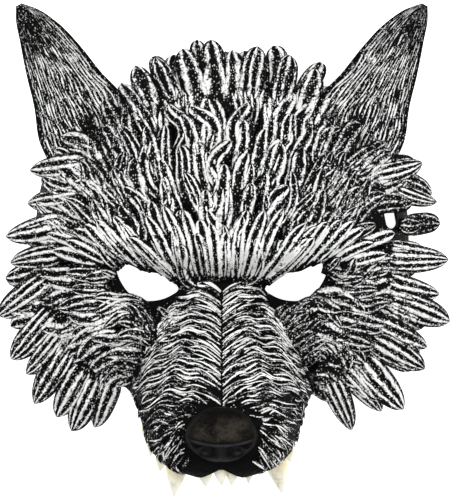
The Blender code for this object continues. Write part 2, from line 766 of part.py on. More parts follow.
def main():
    """Build the mask and its guides."""
    clear_scene()
    mask = new_collection("werewolf_mask")
    fur = new_collection("fur_locks")
    cutters = new_collection("cutters")
    foam = new_material("painted_foam", (0.10, 0.10, 0.10), 0.75)
    leather = new_material("satin_black", (0.012, 0.011, 0.010), 0.35)
    ivory = new_material("ivory", (0.66, 0.62, 0.45), 0.40)

    shell = make_face_shell(mask, foam)
    make_rim_locks(fur)
    make_inner_locks(fur)
    parts = [shell]
    rooms = []
    for name, side in (("ear_left", -1), ("ear_right", 1)):
        parts.append(make_ear(name, side, 0.0, mask, foam))
        grown = make_ear("room_" + name, side, EAR_ROOM_GAPS * GAP, cutters)
        rooms.append(as_guide(grown))
    seated = [make_nose(mask, leather, cutters)]
    for row in TEETH:
        seated.append(make_tooth(*row, mask, ivory))
    rooms += [add_room(part, cutters) for part in seated]
    parts += seated

    holes = new_collection("holes")
    make_eye_cutters(holes)
    make_slot_cutters(holes)
    make_floor_cutter(holes)
    add_modifier(shell, "BOOLEAN", "fur", operation="UNION", operand_type="COLLECTION",
                 collection=fur, solver="EXACT")
    add_modifier(shell, "BOOLEAN", "holes", operation="DIFFERENCE", operand_type="COLLECTION",
                 collection=holes, solver="EXACT")
    for room in rooms:
        add_modifier(shell, "BOOLEAN", room.name, operation="DIFFERENCE", object=room,
                     solver="EXACT")
    shift = shift_to_box_centre(parts)
    for owner in bpy.data.objects:
        owner.location += shift


main()
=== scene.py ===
"""Werewolf half mask: dry-brushed moulded fur, ears, a leather-like nose and ivory teeth.

Every piece is worked out in a face frame, where X = 0 is the middle of the face and
Y = 0 is the line of the eyes, and is then moved by FACE_SHIFT into the model's frame.
All lengths are in metres.
"""

import math

import bpy
import numpy as np
from bpy.props import FloatProperty, FloatVectorProperty, IntProperty, PointerProperty
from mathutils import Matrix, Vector


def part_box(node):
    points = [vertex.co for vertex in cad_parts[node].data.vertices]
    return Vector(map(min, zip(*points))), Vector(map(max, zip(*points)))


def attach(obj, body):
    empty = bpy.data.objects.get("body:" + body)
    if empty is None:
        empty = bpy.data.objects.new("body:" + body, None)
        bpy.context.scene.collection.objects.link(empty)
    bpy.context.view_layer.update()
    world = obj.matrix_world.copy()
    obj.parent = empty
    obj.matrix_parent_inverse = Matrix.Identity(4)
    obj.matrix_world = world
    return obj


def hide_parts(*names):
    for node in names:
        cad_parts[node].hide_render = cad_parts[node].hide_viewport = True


bl_info = {
    "name": "Werewolf half mask",
    "version": (1, 0, 0),
    "blender": (4, 5, 0),
    "location": "View3D > Sidebar > Mask",
    "description": "Builds a moulded half mask with fur locks, ears, a nose and teeth",
    "category": "Add Mesh",
}

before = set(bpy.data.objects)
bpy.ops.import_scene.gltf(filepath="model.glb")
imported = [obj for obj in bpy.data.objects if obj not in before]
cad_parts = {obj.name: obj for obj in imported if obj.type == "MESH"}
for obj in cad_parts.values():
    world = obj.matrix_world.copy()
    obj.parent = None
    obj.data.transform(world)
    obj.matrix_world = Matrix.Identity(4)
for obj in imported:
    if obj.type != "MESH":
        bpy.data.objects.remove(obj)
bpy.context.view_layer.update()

# Sizes that the model's solids share
FACE_HALF_WIDTH = 0.101
FACE_ABOVE = 0.094
FACE_BELOW = 0.088
FACE_CENTRE_Y = 0.018
FACE_DEPTH = 0.058
FACE_ROUNDNESS = 2.6
DOME_FLATNESS = 2.8
DOME_FALL = 0.62
SKIRT = 0.010
WALL = 0.0045
VALLEY_DEPTH = 0.013
VALLEY_SPREAD = 0.014
VALLEY_REACH = 0.066
BROW_RISE = 0.005
BROW_SPREAD = 0.009
BROW_Y = 0.015
BROW_SLOPE = 0.22
EYE_INNER_X = 0.0225
EYE_WIDTH = 0.032
EYE_HEIGHT = 0.020
EYE_MID_Y = 0.002
MUZZLE_DROP = 0.093
MUZZLE_REACH = 0.113
MUZZLE_HALF_WIDTH = 0.047
MUZZLE_BLEND = 0.010
ARCH_FLATNESS = 2.2
ARCH_FALL = 0.56
BESIDE_FALL = 3
BRIDGE_Y = -0.008
RIM_FIRST_DEGREES = -62
RIM_LAST_DEGREES = 242
PULL_FROM_DEGREES = 126
PULL_OVER_DEGREES = 26
PULL_SHARE = 0.10
PULL_SKIRT = 0.7
RING_CROWDING = 1.35
SLOT_WIDTH = 0.0065
SLOT_LENGTH = 0.0105
SLOT_X = 0.0890
SLOT_Y = 0.0355
SLOT_TURN = math.radians(12)
LOCK_LENGTH = 0.031
LOCK_WIDTH = 0.0125
LOCK_HEIGHT = 0.0048
LOCK_SINK = 0.0004
RIM_TIP_Z = 0.012
RIM_TIP_GAIN = 1.1
RIM_LOCK_ARCH = 0.6
EAR_LENGTH = 0.068
EAR_HALF_WIDTH = 0.0265
EAR_WALL = 0.0032
EAR_CUP = 0.011
EAR_PROUD = 0.0008
EAR_BASE_X = 0.0745
EAR_BASE_Y = 0.087
EAR_BASE_Z = 0.0225
EAR_TIP_LIFT = 0.012
EAR_TURN = math.radians(62)
EAR_CUP_POWER = 1.7
EAR_LIFT_POWER = 1.5
NOSE_HALF_WIDTH = 0.0178
NOSE_HALF_HEIGHT = 0.0105
NOSE_HALF_DEPTH = 0.0115
NOSE_Y = -0.0710
NOSE_Z = 0.1077
NOSE_SINK = 0.0016
NOSE_SQUARENESS = 2.7
NOSE_TOP_TAPER = 0.16
NOSE_FOOT_TAPER = 0.22
NOSE_FRONT_GAIN = 0.34
TOOTH_SET_DOWN = 0.55
TOOTH_BACKWARD = 0.10
TOOTH_ARCH = 0.05
MOUTH_MIDDLE = 0.62 * MUZZLE_DROP

# The face frame's origin in the model's frame, from the nose pad's box
NOSE_LOW, NOSE_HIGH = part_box("nose_pad")
FACE_SHIFT = np.array([(NOSE_LOW.x + NOSE_HIGH.x) / 2, NOSE_LOW.y - NOSE_Y + NOSE_HALF_HEIGHT, 0.0])

# Muzzle sections: distance down as a share of MUZZLE_DROP, heights of the ridge and the
# edge as shares of MUZZLE_REACH, and half width as a share of MUZZLE_HALF_WIDTH
MUZZLE_ROWS = np.array((
    (-0.10, 0.360, 0.330, 0.25),
    (0.05, 0.400, 0.340, 0.45),
    (0.16, 0.470, 0.330, 0.62),
    (0.28, 0.585, 0.310, 0.76),
    (0.42, 0.730, 0.280, 0.89),
    (0.55, 0.860, 0.250, 0.98),
    (0.61, 0.910, 0.260, 1.00),
    (0.66, 0.945, 0.420, 0.93),
    (0.75, 0.980, 0.580, 0.86),
    (0.84, 0.985, 0.710, 0.78),
    (0.92, 0.960, 0.800, 0.65),
    (0.97, 0.930, 0.855, 0.47),
    (1.00, 0.905, 0.890, 0.24),
))

# Lip line from the mouth corner to the notch: share to the side and share down
LIP_ROWS = np.array((
    (1.00, 0.61),
    (0.93, 0.66),
    (0.86, 0.75),
    (0.78, 0.84),
    (0.65, 0.92),
    (0.47, 0.97),
    (0.24, 1.00),
    (0.00, 0.945),
))

# Eye hole outline: share of EYE_WIDTH outward and share of EYE_HEIGHT above the middle
EYE_OUTLINE = np.array((
    (0.00, -0.15),
    (0.17, 0.10),
    (0.34, 0.24),
    (0.56, 0.29),
    (0.74, 0.43),
    (0.90, 0.50),
    (1.00, 0.36),
    (0.95, 0.05),
    (0.80, -0.28),
    (0.58, -0.46),
    (0.34, -0.46),
    (0.13, -0.34),
))

# Rim tufts: angle about the face centre, reach past the rim and size as shares of
# LOCK_LENGTH, and lean from straight outwards in degrees
RIM_TUFTS = np.array((
    (24, 0.36, 0.90, -9),
    (13, 0.46, 0.72, -30),
    (1, 0.20, 0.62, -6),
    (-2, 0.62, 1.05, 0),
    (-11, 0.50, 0.95, -4),
    (-17, 0.76, 1.10, -4),
    (-25, 0.52, 0.95, -1),
    (-30, 0.66, 1.05, 2),
    (-41, 0.82, 1.15, -6),
    (-45, 0.60, 1.00, -4),
    (-54, 0.62, 1.00, -12),
    (157, 0.18, 0.95, 28),
    (166, 0.10, 1.00, 22),
    (176, 0.44, 1.05, 18),
    (183, 0.36, 0.90, 6),
    (196, 0.66, 1.10, 19),
    (207, 0.70, 1.10, 19),
    (212, 0.60, 0.95, 16),
    (219, 0.82, 1.15, 18),
    (225, 0.74, 1.00, 15),
    (230, 0.80, 1.05, 15),
    (234, 0.56, 0.90, 15),
    (121, 0.06, 0.80, -4),
    (57, 0.06, 0.80, 6),
    (115, 0.28, 0.85, -2),
    (109, 0.34, 0.85, 4),
    (101, 0.44, 0.95, 7),
    (93, 0.58, 1.00, 3),
    (87, 0.40, 0.90, -3),
    (80, 0.48, 0.95, 2),
    (71, 0.40, 0.90, 4),
    (63, 0.26, 0.85, 8),
))

# Ears: node name, side, and the strength of the painted shade in the hollow
EARS = (("ear_left", -1, 0.34), ("ear_right", 1, 0.20))

# Ear outline: share along the ear, inner and outer half width, and cup depth
EAR_ROWS = np.array((
    (-0.22, 0.92, 0.94, 0.70),
    (0.00, 0.98, 0.90, 1.00),
    (0.25, 0.82, 0.67, 1.00),
    (0.50, 0.70, 0.50, 0.85),
    (0.74, 0.52, 0.31, 0.60),
    (0.91, 0.28, 0.17, 0.35),
    (1.00, 0.07, 0.05, 0.10),
))

# Teeth: node name, length and width before the size is applied, share of the way round
# the lip, size, and lean of the tip away from the middle as a share of the length
TEETH = (
    ("canine_left", 0.0232, 0.0104, 0.345, 1.05, 0.10),
    ("canine_right", 0.0250, 0.0116, 0.690, 1.00, 0.20),
    ("incisor_1", 0.0122, 0.0080, 0.437, 1.05, -0.08),
    ("incisor_2", 0.0156, 0.0078, 0.490, 1.12, -0.08),
    ("incisor_3", 0.0144, 0.0080, 0.543, 0.95, -0.08),
    ("incisor_4", 0.0162, 0.0070, 0.602, 0.75, -0.08),
    ("side_tooth_left_1", 0.0110, 0.0064, 0.285, 0.95, 0.16),
    ("side_tooth_left_2", 0.0110, 0.0064, 0.222, 0.85, 0.16),
    ("side_tooth_left_3", 0.0110, 0.0064, 0.160, 0.80, 0.16),
    ("side_tooth_right_1", 0.0110, 0.0064, 0.756, 0.90, 0.16),
)

# Forehead rings: distance of the tips from a place FOREHEAD_CENTRE_BELOW under the eyes'
# line, first and last angle in degrees, number of tufts, and their length and width
FOREHEAD_CENTRE_BELOW = 0.005
FOREHEAD_RINGS = np.array((
    (0.036, 50, 130, 5, 0.026, 0.0078),
    (0.047, 34, 146, 9, 0.029, 0.0088),
    (0.058, 28, 152, 12, 0.031, 0.0096),
    (0.069, 26, 154, 13, 0.032, 0.0102),
    (0.080, 28, 152, 14, 0.033, 0.0106),
    (0.091, 34, 146, 14, 0.033, 0.0108),
    (0.102, 42, 138, 13, 0.033, 0.0110),
    (0.113, 50, 130, 13, 0.032, 0.0112),
    (0.123, 58, 122, 11, 0.031, 0.0116),
    (0.131, 65, 115, 9, 0.030, 0.0118),
))

# Brow tufts: start to the side and up, end to the side and up, and height over the fur
BROW_TUFTS = np.array((
    (0.0225, 0.0024, 0.0460, 0.0250, 0.0020),
    (0.0185, 0.0026, 0.0400, 0.0345, 0.0016),
    (0.0145, 0.0027, 0.0300, 0.0405, 0.0012),
    (0.0105, 0.0027, 0.0200, 0.0405, 0.0008),
    (0.0065, 0.0028, 0.0110, 0.0360, 0.0004),
    (0.0025, 0.0028, 0.0040, 0.0290, 0.0000),
    (0.0245, 0.0035, 0.0460, 0.0240, 0.0014),
    (0.0300, 0.0062, 0.0500, 0.0290, 0.0008),
    (0.0355, 0.0082, 0.0560, 0.0325, 0.0010),
    (0.0410, 0.0098, 0.0620, 0.0335, 0.0012),
    (0.0465, 0.0122, 0.0675, 0.0335, 0.0014),
    (0.0520, 0.0140, 0.0725, 0.0310, 0.0016),
    (0.0572, 0.0118, 0.0790, 0.0225, 0.0010),
    (0.0620, 0.0130, 0.0885, 0.0175, 0.0006),
    (0.0640, 0.0190, 0.0900, 0.0270, 0.0002),
))

# Cheek rows: share of the way from the face centre to the rim where the tips lie, first
# and last angle in degrees, number of tufts, and their length and width
CHEEK_ROWS = np.array((
    (1.12, -56, 30, 11, 0.031, 0.0138),
    (1.01, -60, 40, 13, 0.030, 0.0132),
    (0.90, -62, 44, 13, 0.029, 0.0126),
    (0.79, -64, 46, 13, 0.028, 0.0116),
    (0.69, -66, 40, 12, 0.026, 0.0106),
    (0.60, -68, 6, 10, 0.024, 0.0096),
    (0.52, -70, -8, 9, 0.021, 0.0086),
    (0.44, -73, -14, 7, 0.018, 0.0076),
))

# Cheek pieces: name, side, angle past which the tips stay inside the rim, and seed's step
CHEEK_SIDES = (("cheek_fur_left", -1, -4, 5), ("cheek_fur_right", 1, 14, 6))

# Widths of a tooth on its way from root to tip, as shares of its full width
TOOTH_WAYS = np.array([0.0, 0.35, 0.72, 0.90, 1.0])
TOOTH_WIDTHS = np.array([0.80, 1.00, 0.62, 0.28, 0.05])

# Brim that carries the fur past the rim: its height, the share of the way to the rim where
# it starts to fall, its fall for a whole share more, and its blend into the skin
BRIM_HEIGHT = 0.029
BRIM_FROM = 0.86
BRIM_FALL = 0.055
BRIM_BLEND = 0.006

# How far below the eyes' line the forehead's fan starts, and droop of the cheeks' fur in
# degrees against the height above the eyes' line
FAN_BELOW = 0.052
CHEEK_DROOP = np.array((
    (-0.100, 66),
    (-0.080, 60),
    (-0.060, 48),
    (-0.040, 33),
    (-0.020, 20),
    (0.000, 8),
    (0.020, 5),
    (0.060, -8),
    (0.090, -24),
))

# Room that the tufts' middle lines leave round the eyes, the muzzle and the right slot
EYE_ROOM_BESIDE = 0.0018
EYE_ROOM_HALF_HEIGHT = 0.0108
MUZZLE_ROOM_SHARE = 0.93
MUZZLE_ROOM_TOP = -0.012
SLOT_ROOM_HALF_WIDTH = 0.0044
SLOT_ROOM_HALF_LENGTH = 0.0060
LEAST_TUFT_LEFT = 0.3

# Holes in the skin: corners of an eye's edge, the heights that each cut runs between, and
# half the width of the cut that levels the rim
EYE_CORNERS = 72
EYE_CUT = (0.010, 0.110)
SLOT_CUT = (-0.020, 0.110)
FLOOR_CUT = (-0.1, 0.0)
FLOOR_CUT_HALF_WIDTH = 0.2

# Random spread of the laid tufts: factors on length, width, lift and rise, and normal
# spreads in degrees of their turn, bend, S curve and roll
LENGTH_RANGE = (0.88, 1.14)
WIDTH_RANGE = (0.86, 1.16)
LIFT_RANGE = (0.75, 1.30)
RISE_RANGE = (0.85, 1.20)
TURN_SPREAD = 7
BEND_SPREAD = 32
CURL_SPREAD = 13
ROLL_SPREAD = 9
STAGGER_SPREAD = 0.16

# Steps along and across a tuft, and across its hidden underside
LAID_STEPS = 14
SWEPT_STEPS = 18
TOP_STEPS = 20
BROW_TOP_STEPS = 14
HAIR_TOP_STEPS = 5
UNDER_STEPS = 3

# Tip shapes: least and greatest power of the outline's fall, and power of its closing
FOREHEAD_TIPS = (6.0, 10.0, 0.50)
CHEEK_TIPS = (3.4, 7.0, 0.55)
BROW_TIPS = (5.0, 8.0, 0.52)
RIM_TIPS = (3.0, 5.4, 0.62)
RIM_BLUNTER = 3.5

# Tones that the brush leaves: on each kind of fur, and how much darker some places are.
# The darkening of the cheeks beside the muzzle, of the muzzle's outer hairs and lower flanks
# and of the ear's root is painted shade
RIM_TONE = 0.86
RIM_BLUNT_DARKER = 0.07
FOREHEAD_TONE = 0.96
FOREHEAD_SIDES_DARKER = 0.10
BROW_TONE = 0.90
CHEEK_TONE = 0.83
CHEEK_INNER_SHADE = 0.10
CHEEK_RIGHT_DARKER = 0.05
HAIR_TONES = (0.56, 1.0)
HAIR_OUTER_SHADE = 0.08
FLANK_SHADE = (0.21, 0.11)
EAR_TONE = 0.83
EAR_EDGE_DARKER = 0.55
EAR_ROOT_SHADE = 0.40
EAR_FOLD_LIGHTER = 0.10
EAR_BACK_TONE = 0.15

# Spreads of the tips' reach: in metres on the forehead's rings, and as a share on the
# cheeks' rows
FOREHEAD_REACH_SPREAD = 0.0028
CHEEK_REACH_SPREAD = 0.022

# Rim tufts: length, width, greatest heights of their roots and middles, the sideways lean
# of their tops, and the spread of their middles
RIM_TUFT_STRETCH = 1.25
RIM_TUFT_WIDENING = 1.22
RIM_ROOT_TOP = 0.042
RIM_MIDDLE_TOP = 0.040
RIM_ROLL = 0.18
RIM_SWAY = 0.0016

# Brow tufts: spread of their places, bow of their middles to the side and up, height over
# the fur at the root and climb to the tip, least and greatest width, and crown
BROW_SHAKE = 0.0009
BROW_BOW = np.array([[-0.0008], [0.0016]])
BROW_CLEAR = 0.0002
BROW_CLIMB = 0.0048
BROW_WIDTHS = (0.0078, 0.0098)
BROW_CROWN = 0.0030

# Muzzle hairs: the rows' first and last place, their spacing, the hairs' span and steps,
# the rise at the crest of a row's arch, the height and spread of the shared waves, the
# hairs' crown, tilt, height over the skin and widths, their farthest start, their droop
# beside the nose, the gaps at the parting and the nose, and the crest's distance off the
# middle at two places
HAIR_FIRST_Y = 0.0010
HAIR_LAST_Y = -0.0960
HAIR_SPACING = 0.00136
HAIR_SPAN = (0.007, 0.015)
HAIR_STEPS = 10
HAIR_CREST = 0.0064
HAIR_WAVE = 0.0010
HAIR_WAVES_OUT = 420
HAIR_WAVES_DOWN = 150
HAIR_RISE = 0.0011
HAIR_TILT = 0.0009
CHIN_HALF_WIDTH = 0.0150
HAIR_CLEAR = 0.00015
HAIR_WIDTHS = (0.70, 1.25)
HAIR_OUTMOST = 0.052
HAIR_DROOP = 0.0060
PARTING_GAP = 0.0003
PARTING_SPREAD = 0.0006
NOSE_GAP = 0.0145
CREST_PLACES = (-0.060, 0.0)
CREST_DISTANCES = (0.0190, 0.0125)

# Flank hairs: first row, last row and spacing, first way round the arch, last way and step,
# their spreads, and the hairs' reach round the arch and drop
FLANK_ROWS = (-0.012, -0.090, -0.0020)
FLANK_WAYS = (0.50, 0.95, 0.085)
FLANK_ROW_SPREAD = 0.0008
FLANK_WAY_SPREAD = 0.025
FLANK_REACH = (0.075, 0.14)
FLANK_DROP = (0.002, 0.0055)

# Room that the muzzle's hairs leave beside and above the nose, round the eyes and over the
# lip, their topmost place, and how near the muzzle's edge they come below HAIR_EDGE_FROM
NOSE_ROOM_BESIDE = 0.0010
NOSE_ROOM_ABOVE = 0.0022
HAIR_EYE_ROOM_BESIDE = 0.002
HAIR_EYE_ROOM_HALF_HEIGHT = 0.0105
LIP_ROOM = 0.0006
HAIR_TOP_Y = 0.006
HAIR_EDGE_FROM = -0.050
HAIR_EDGE_SHARE = 1.002
HAIR_FARTHEST = 0.060

# Nose pad: extra reach of its top and foot, the nostrils', septum's and wings' places and
# sizes, and the sheen on the front's edges and down its middle
NOSE_TOP_STRETCH = 0.28
NOSE_FOOT_STRETCH = 0.26
NOSTRIL_X = 0.0088
NOSTRIL_BELOW = 0.0078
NOSTRIL_WIDTH = 0.0042
NOSTRIL_HEIGHT = 0.0026
NOSTRIL_SLANT = 0.35
SEPTUM_WIDTH = 0.0011
SEPTUM_DEPTH = 0.0010
WING_X = 0.0135
WING_RISE = 0.0009
WING_BELOW = 0.001
WING_WIDTH = 0.0035
WING_HEIGHT = 0.004
NOSE_EDGE_SHEEN = 0.9
NOSE_MIDDLE_SHEEN = 0.35

# Teeth: how far behind the lip they stand, as shares of WALL, share of a tooth above its
# seat, depth as a share of its width, rings and corners of its mesh, and number and depth
# of its grooves
FRONT_TOOTH_BEHIND = 0.95
SIDE_TOOTH_BEHIND = 0.50
TOOTH_ROOT_SHARE = 0.28
TOOTH_DEPTH_SHARE = 0.86
TOOTH_RINGS = 26
TOOTH_CORNERS = 28
TOOTH_GROOVES = 6
TOOTH_GROOVE = 0.035

# Paints as linear colours, how much the black ones shine, and how softly the white
# brush strokes end
SPECK_WHITE = (0.60, 0.60, 0.59, 1.0)
DULL_WHITE = (0.62, 0.62, 0.61, 1.0)
WORN_BLACK = (0.004, 0.004, 0.004, 1.0)
HIDE_FLECK = (0.55, 0.55, 0.54, 1.0)
FOAM_DARK = (0.028, 0.028, 0.030, 1.0)
FOAM_LIGHT = (0.060, 0.060, 0.062, 1.0)
NOSE_SHEEN = (0.028, 0.029, 0.033, 1.0)
TOOTH_STAIN = (0.36, 0.30, 0.17, 1.0)
FUR_SHINE = 0.03
NOSE_SHINE = 0.02
BRUSH_SOFTNESS = 0.12

# Cells of the specks, the foam and the pebbled leather for each metre, and the height under
# the eyes' line over which the specks on the hide fade
SPECK_CELLS = 820.0
FOAM_CELLS = 900.0
PEBBLE_CELLS = 950.0
CHIN_BELOW = 0.080
CHIN_BLEND = 0.014

# Softboxes: name, place from the face's middle, and size
SOFTBOXES = (
    ("softbox_left", (-0.55, 0.45, 0.85), 0.45),
    ("softbox_right", (0.60, 0.25, 0.80), 0.45),
    ("softbox_front", (0.0, -0.15, 1.25), 0.50),
)
FACE_MIDDLE = (0.003, 0.019, 0.03)
CAMERA_X = 0.00297
CAMERA_Y = 0.0189
SENSOR_WIDTH = 36.0
FLOOR_HALF_WIDTH = 3.0
FLOOR_GLOW = 0.9
WORLD_GLOW = 0.4
WHITE = (1.0, 1.0, 1.0, 1.0)


def smooth_step(low, high, value):
    """Rise from 0 at low to 1 at high along t * t * (3 - 2 * t)."""
    t = np.clip((value - low) / (high - low), 0, 1)
    return t * t * (3 - 2 * t)


def curve_through(stations, values, at):
    """Cubic through table rows, its slope at each row the mean of those beside it."""
    slopes = np.gradient(values, stations)
    at = np.clip(at, stations[0], stations[-1])
    row = np.clip(np.searchsorted(stations, at, side="right") - 1, 0, len(stations) - 2)
    width = stations[row + 1] - stations[row]
    t = (at - stations[row]) / width
    start = (1 + 2 * t) * (1 - t) ** 2 * values[row] + t * (1 - t) ** 2 * width * slopes[row]
    end = t * t * (3 - 2 * t) * values[row + 1] - t * t * (1 - t) * width * slopes[row + 1]
    return start + end


def blended_top(first, second, blend):
    """The higher of two heights, rounded where they differ by less than blend."""
    near = np.clip(blend - np.abs(first - second), 0, None) / blend
    return np.maximum(first, second) + near ** 2 * blend / 4


def face_share(x, y):
    """(|x / half width| ^ p + |(y - centre) / reach| ^ p) ^ (1 / p), which is 1 at the rim."""
    rise = y - FACE_CENTRE_Y
    reach = np.where(rise > 0, FACE_ABOVE, FACE_BELOW)
    across = np.abs(x / FACE_HALF_WIDTH) ** FACE_ROUNDNESS
    along = np.abs(rise / reach) ** FACE_ROUNDNESS
    return (across + along) ** (1 / FACE_ROUNDNESS)


def muzzle_half(y):
    """Half width of the muzzle's section at each distance down."""
    down = -y / MUZZLE_DROP
    return MUZZLE_HALF_WIDTH * curve_through(MUZZLE_ROWS[:, 0], MUZZLE_ROWS[:, 3], down)


def skin_height(x, y):
    """Dome with an eye valley and brow, blended into the muzzle's arched sections."""
    share = np.clip(face_share(x, y), 0, 1)
    dome = FACE_DEPTH * (1 - share ** DOME_FLATNESS) ** DOME_FALL
    fade = np.exp(-(x / VALLEY_REACH) ** 4)
    valley = VALLEY_DEPTH * np.exp(-(y / VALLEY_SPREAD) ** 2)
    brow_line = BROW_Y + BROW_SLOPE * np.abs(x)
    brow = BROW_RISE * np.exp(-((y - brow_line) / BROW_SPREAD) ** 2)
    dome = dome + fade * (brow - valley)
    down = -y / MUZZLE_DROP
    stations = MUZZLE_ROWS[:, 0]
    ridge = MUZZLE_REACH * curve_through(stations, MUZZLE_ROWS[:, 1], down)
    edge = MUZZLE_REACH * curve_through(stations, MUZZLE_ROWS[:, 2], down)
    half = muzzle_half(y)
    side = np.abs(x) / half
    arch = (1 - np.clip(side, 0, 1) ** ARCH_FLATNESS) ** ARCH_FALL
    past_edge = np.clip(side - 1, 0, None) * half * BESIDE_FALL
    past_top = np.clip(stations[0] - down, 0, None) * MUZZLE_DROP
    muzzle = edge + (ridge - edge) * arch - past_edge - past_top
    return blended_top(dome, muzzle, MUZZLE_BLEND)


def fur_height(x, y):
    """Skin height, kept above a shallow brim that carries the fur out past the rim."""
    brim = BRIM_HEIGHT - BRIM_FALL * np.clip(face_share(x, y) - BRIM_FROM, 0, None)
    return blended_top(skin_height(x, y), brim, BRIM_BLEND)


def outward_of(height, x, y):
    """Unit normal of a height field, from its slopes over half a millimetre each way."""
    step = 0.0005
    slope_x = (height(x + step, y) - height(x - step, y)) / (2 * step)
    slope_y = (height(x, y + step) - height(x, y - step)) / (2 * step)
    normal = np.stack([-slope_x, -slope_y, np.ones_like(slope_x)], axis=-1)
    return normal / np.linalg.norm(normal, axis=-1, keepdims=True)


def rim_points(degrees, share):
    """Rim places: half width * |cos| ^ (2 / p) and reach * |sin| ^ (2 / p), signed."""
    angle = np.radians(degrees)
    power = 2 / FACE_ROUNDNESS
    reach = np.where(np.sin(angle) > 0, FACE_ABOVE, FACE_BELOW)
    x = FACE_HALF_WIDTH * np.sign(np.cos(angle)) * np.abs(np.cos(angle)) ** power
    y = reach * np.sign(np.sin(angle)) * np.abs(np.sin(angle)) ** power
    return share * x, FACE_CENTRE_Y + share * y


def lip_points(way):
    """Lip places from 0 at the left mouth corner to 1 at the right one."""
    rows = len(LIP_ROWS) - 1
    station = rows * (1 - np.abs(2 * way - 1))
    side = curve_through(np.arange(rows + 1.0), LIP_ROWS[:, 0], station)
    down = curve_through(np.arange(rows + 1.0), LIP_ROWS[:, 1], station)
    return np.sign(way - 0.5) * side * MUZZLE_HALF_WIDTH, -down * MUZZLE_DROP


def fur_direction(x, y):
    """Growth direction as an angle: fanned up over the brow and outwards on the cheeks.

    On the forehead it points away from a place FAN_BELOW under the eyes' line.  On the
    cheeks it points outwards and droops with the distance below the eyes.  The two blend
    from 58 to 98 mm off the middle, and just above the eyes' line.
    """
    off = np.abs(x)
    fan = np.arctan2(y + FAN_BELOW, off)
    droop = -np.interp(y, CHEEK_DROOP[:, 0], np.radians(CHEEK_DROOP[:, 1]))
    outer = smooth_step(0.058, 0.098, off)
    outer = np.maximum(outer, (1 - smooth_step(0.002, 0.016, y)) * smooth_step(0.040, 0.056, off))
    angle = fan * (1 - outer) + droop * outer
    return np.where(x > 0, angle, math.pi - angle)


def grid_triangles(rows, columns, wrap):
    """Two triangles for each cell of a grid whose rows follow each other in memory."""
    last = columns if wrap else columns - 1
    row, column = np.meshgrid(np.arange(rows - 1), np.arange(last), indexing="ij")
    a = (row * columns + column).ravel()
    b = (row * columns + (column + 1) % columns).ravel()
    return np.concatenate([np.stack([a, b, b + columns], axis=-1),
                           np.stack([a, b + columns, a + columns], axis=-1)])


def closed_tube(rows, ring):
    """Triangles of a tube of rings whose two end points follow the rings in memory."""
    corner = np.arange(ring)
    turned = (corner + 1) % ring
    last = (rows - 1) * ring
    root_fan = np.stack([turned, corner, np.full(ring, rows * ring)], axis=-1)
    tip_fan = np.stack([last + corner, last + turned, np.full(ring, rows * ring + 1)], axis=-1)
    return np.concatenate([grid_triangles(rows, ring, True), root_fan, tip_fan])


def add_piece(name, points, triangles, materials, uv=None, paint=None, smooth=True):
    """Mesh object at the origin with its place in its mesh, its UV map and its paint."""
    mesh = bpy.data.meshes.new(name)
    mesh.vertices.add(len(points))
    mesh.vertices.foreach_set("co", (points + FACE_SHIFT).astype(np.float32).ravel())
    mesh.loops.add(triangles.size)
    mesh.loops.foreach_set("vertex_index", triangles.astype(np.int32).ravel())
    mesh.polygons.add(len(triangles))
    mesh.polygons.foreach_set("loop_start", np.arange(0, triangles.size, 3, dtype=np.int32))
    mesh.polygons.foreach_set("loop_total", np.full(len(triangles), 3, dtype=np.int32))
    mesh.update(calc_edges=True)
    if uv is not None:
        layer = mesh.uv_layers.new(name="strand")
        layer.data.foreach_set("uv", uv[triangles.ravel()].astype(np.float32).ravel())
    if paint is not None:
        layer = mesh.attributes.new("paint", "FLOAT", "POINT")
        layer.data.foreach_set("value", paint.astype(np.float32))
    mesh.validate()
    if smooth:
        mesh.shade_smooth()
    for material in materials:
        mesh.materials.append(material)
    made = bpy.data.objects.new(name, mesh)
    bpy.context.scene.collection.objects.link(made)
    return made


def seat(piece, slot, *nodes):
    """Let a piece ride on the mask and hide the solids that it stands for; slot is not used."""
    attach(piece, "root")
    if nodes:
        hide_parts(*nodes)
    return piece


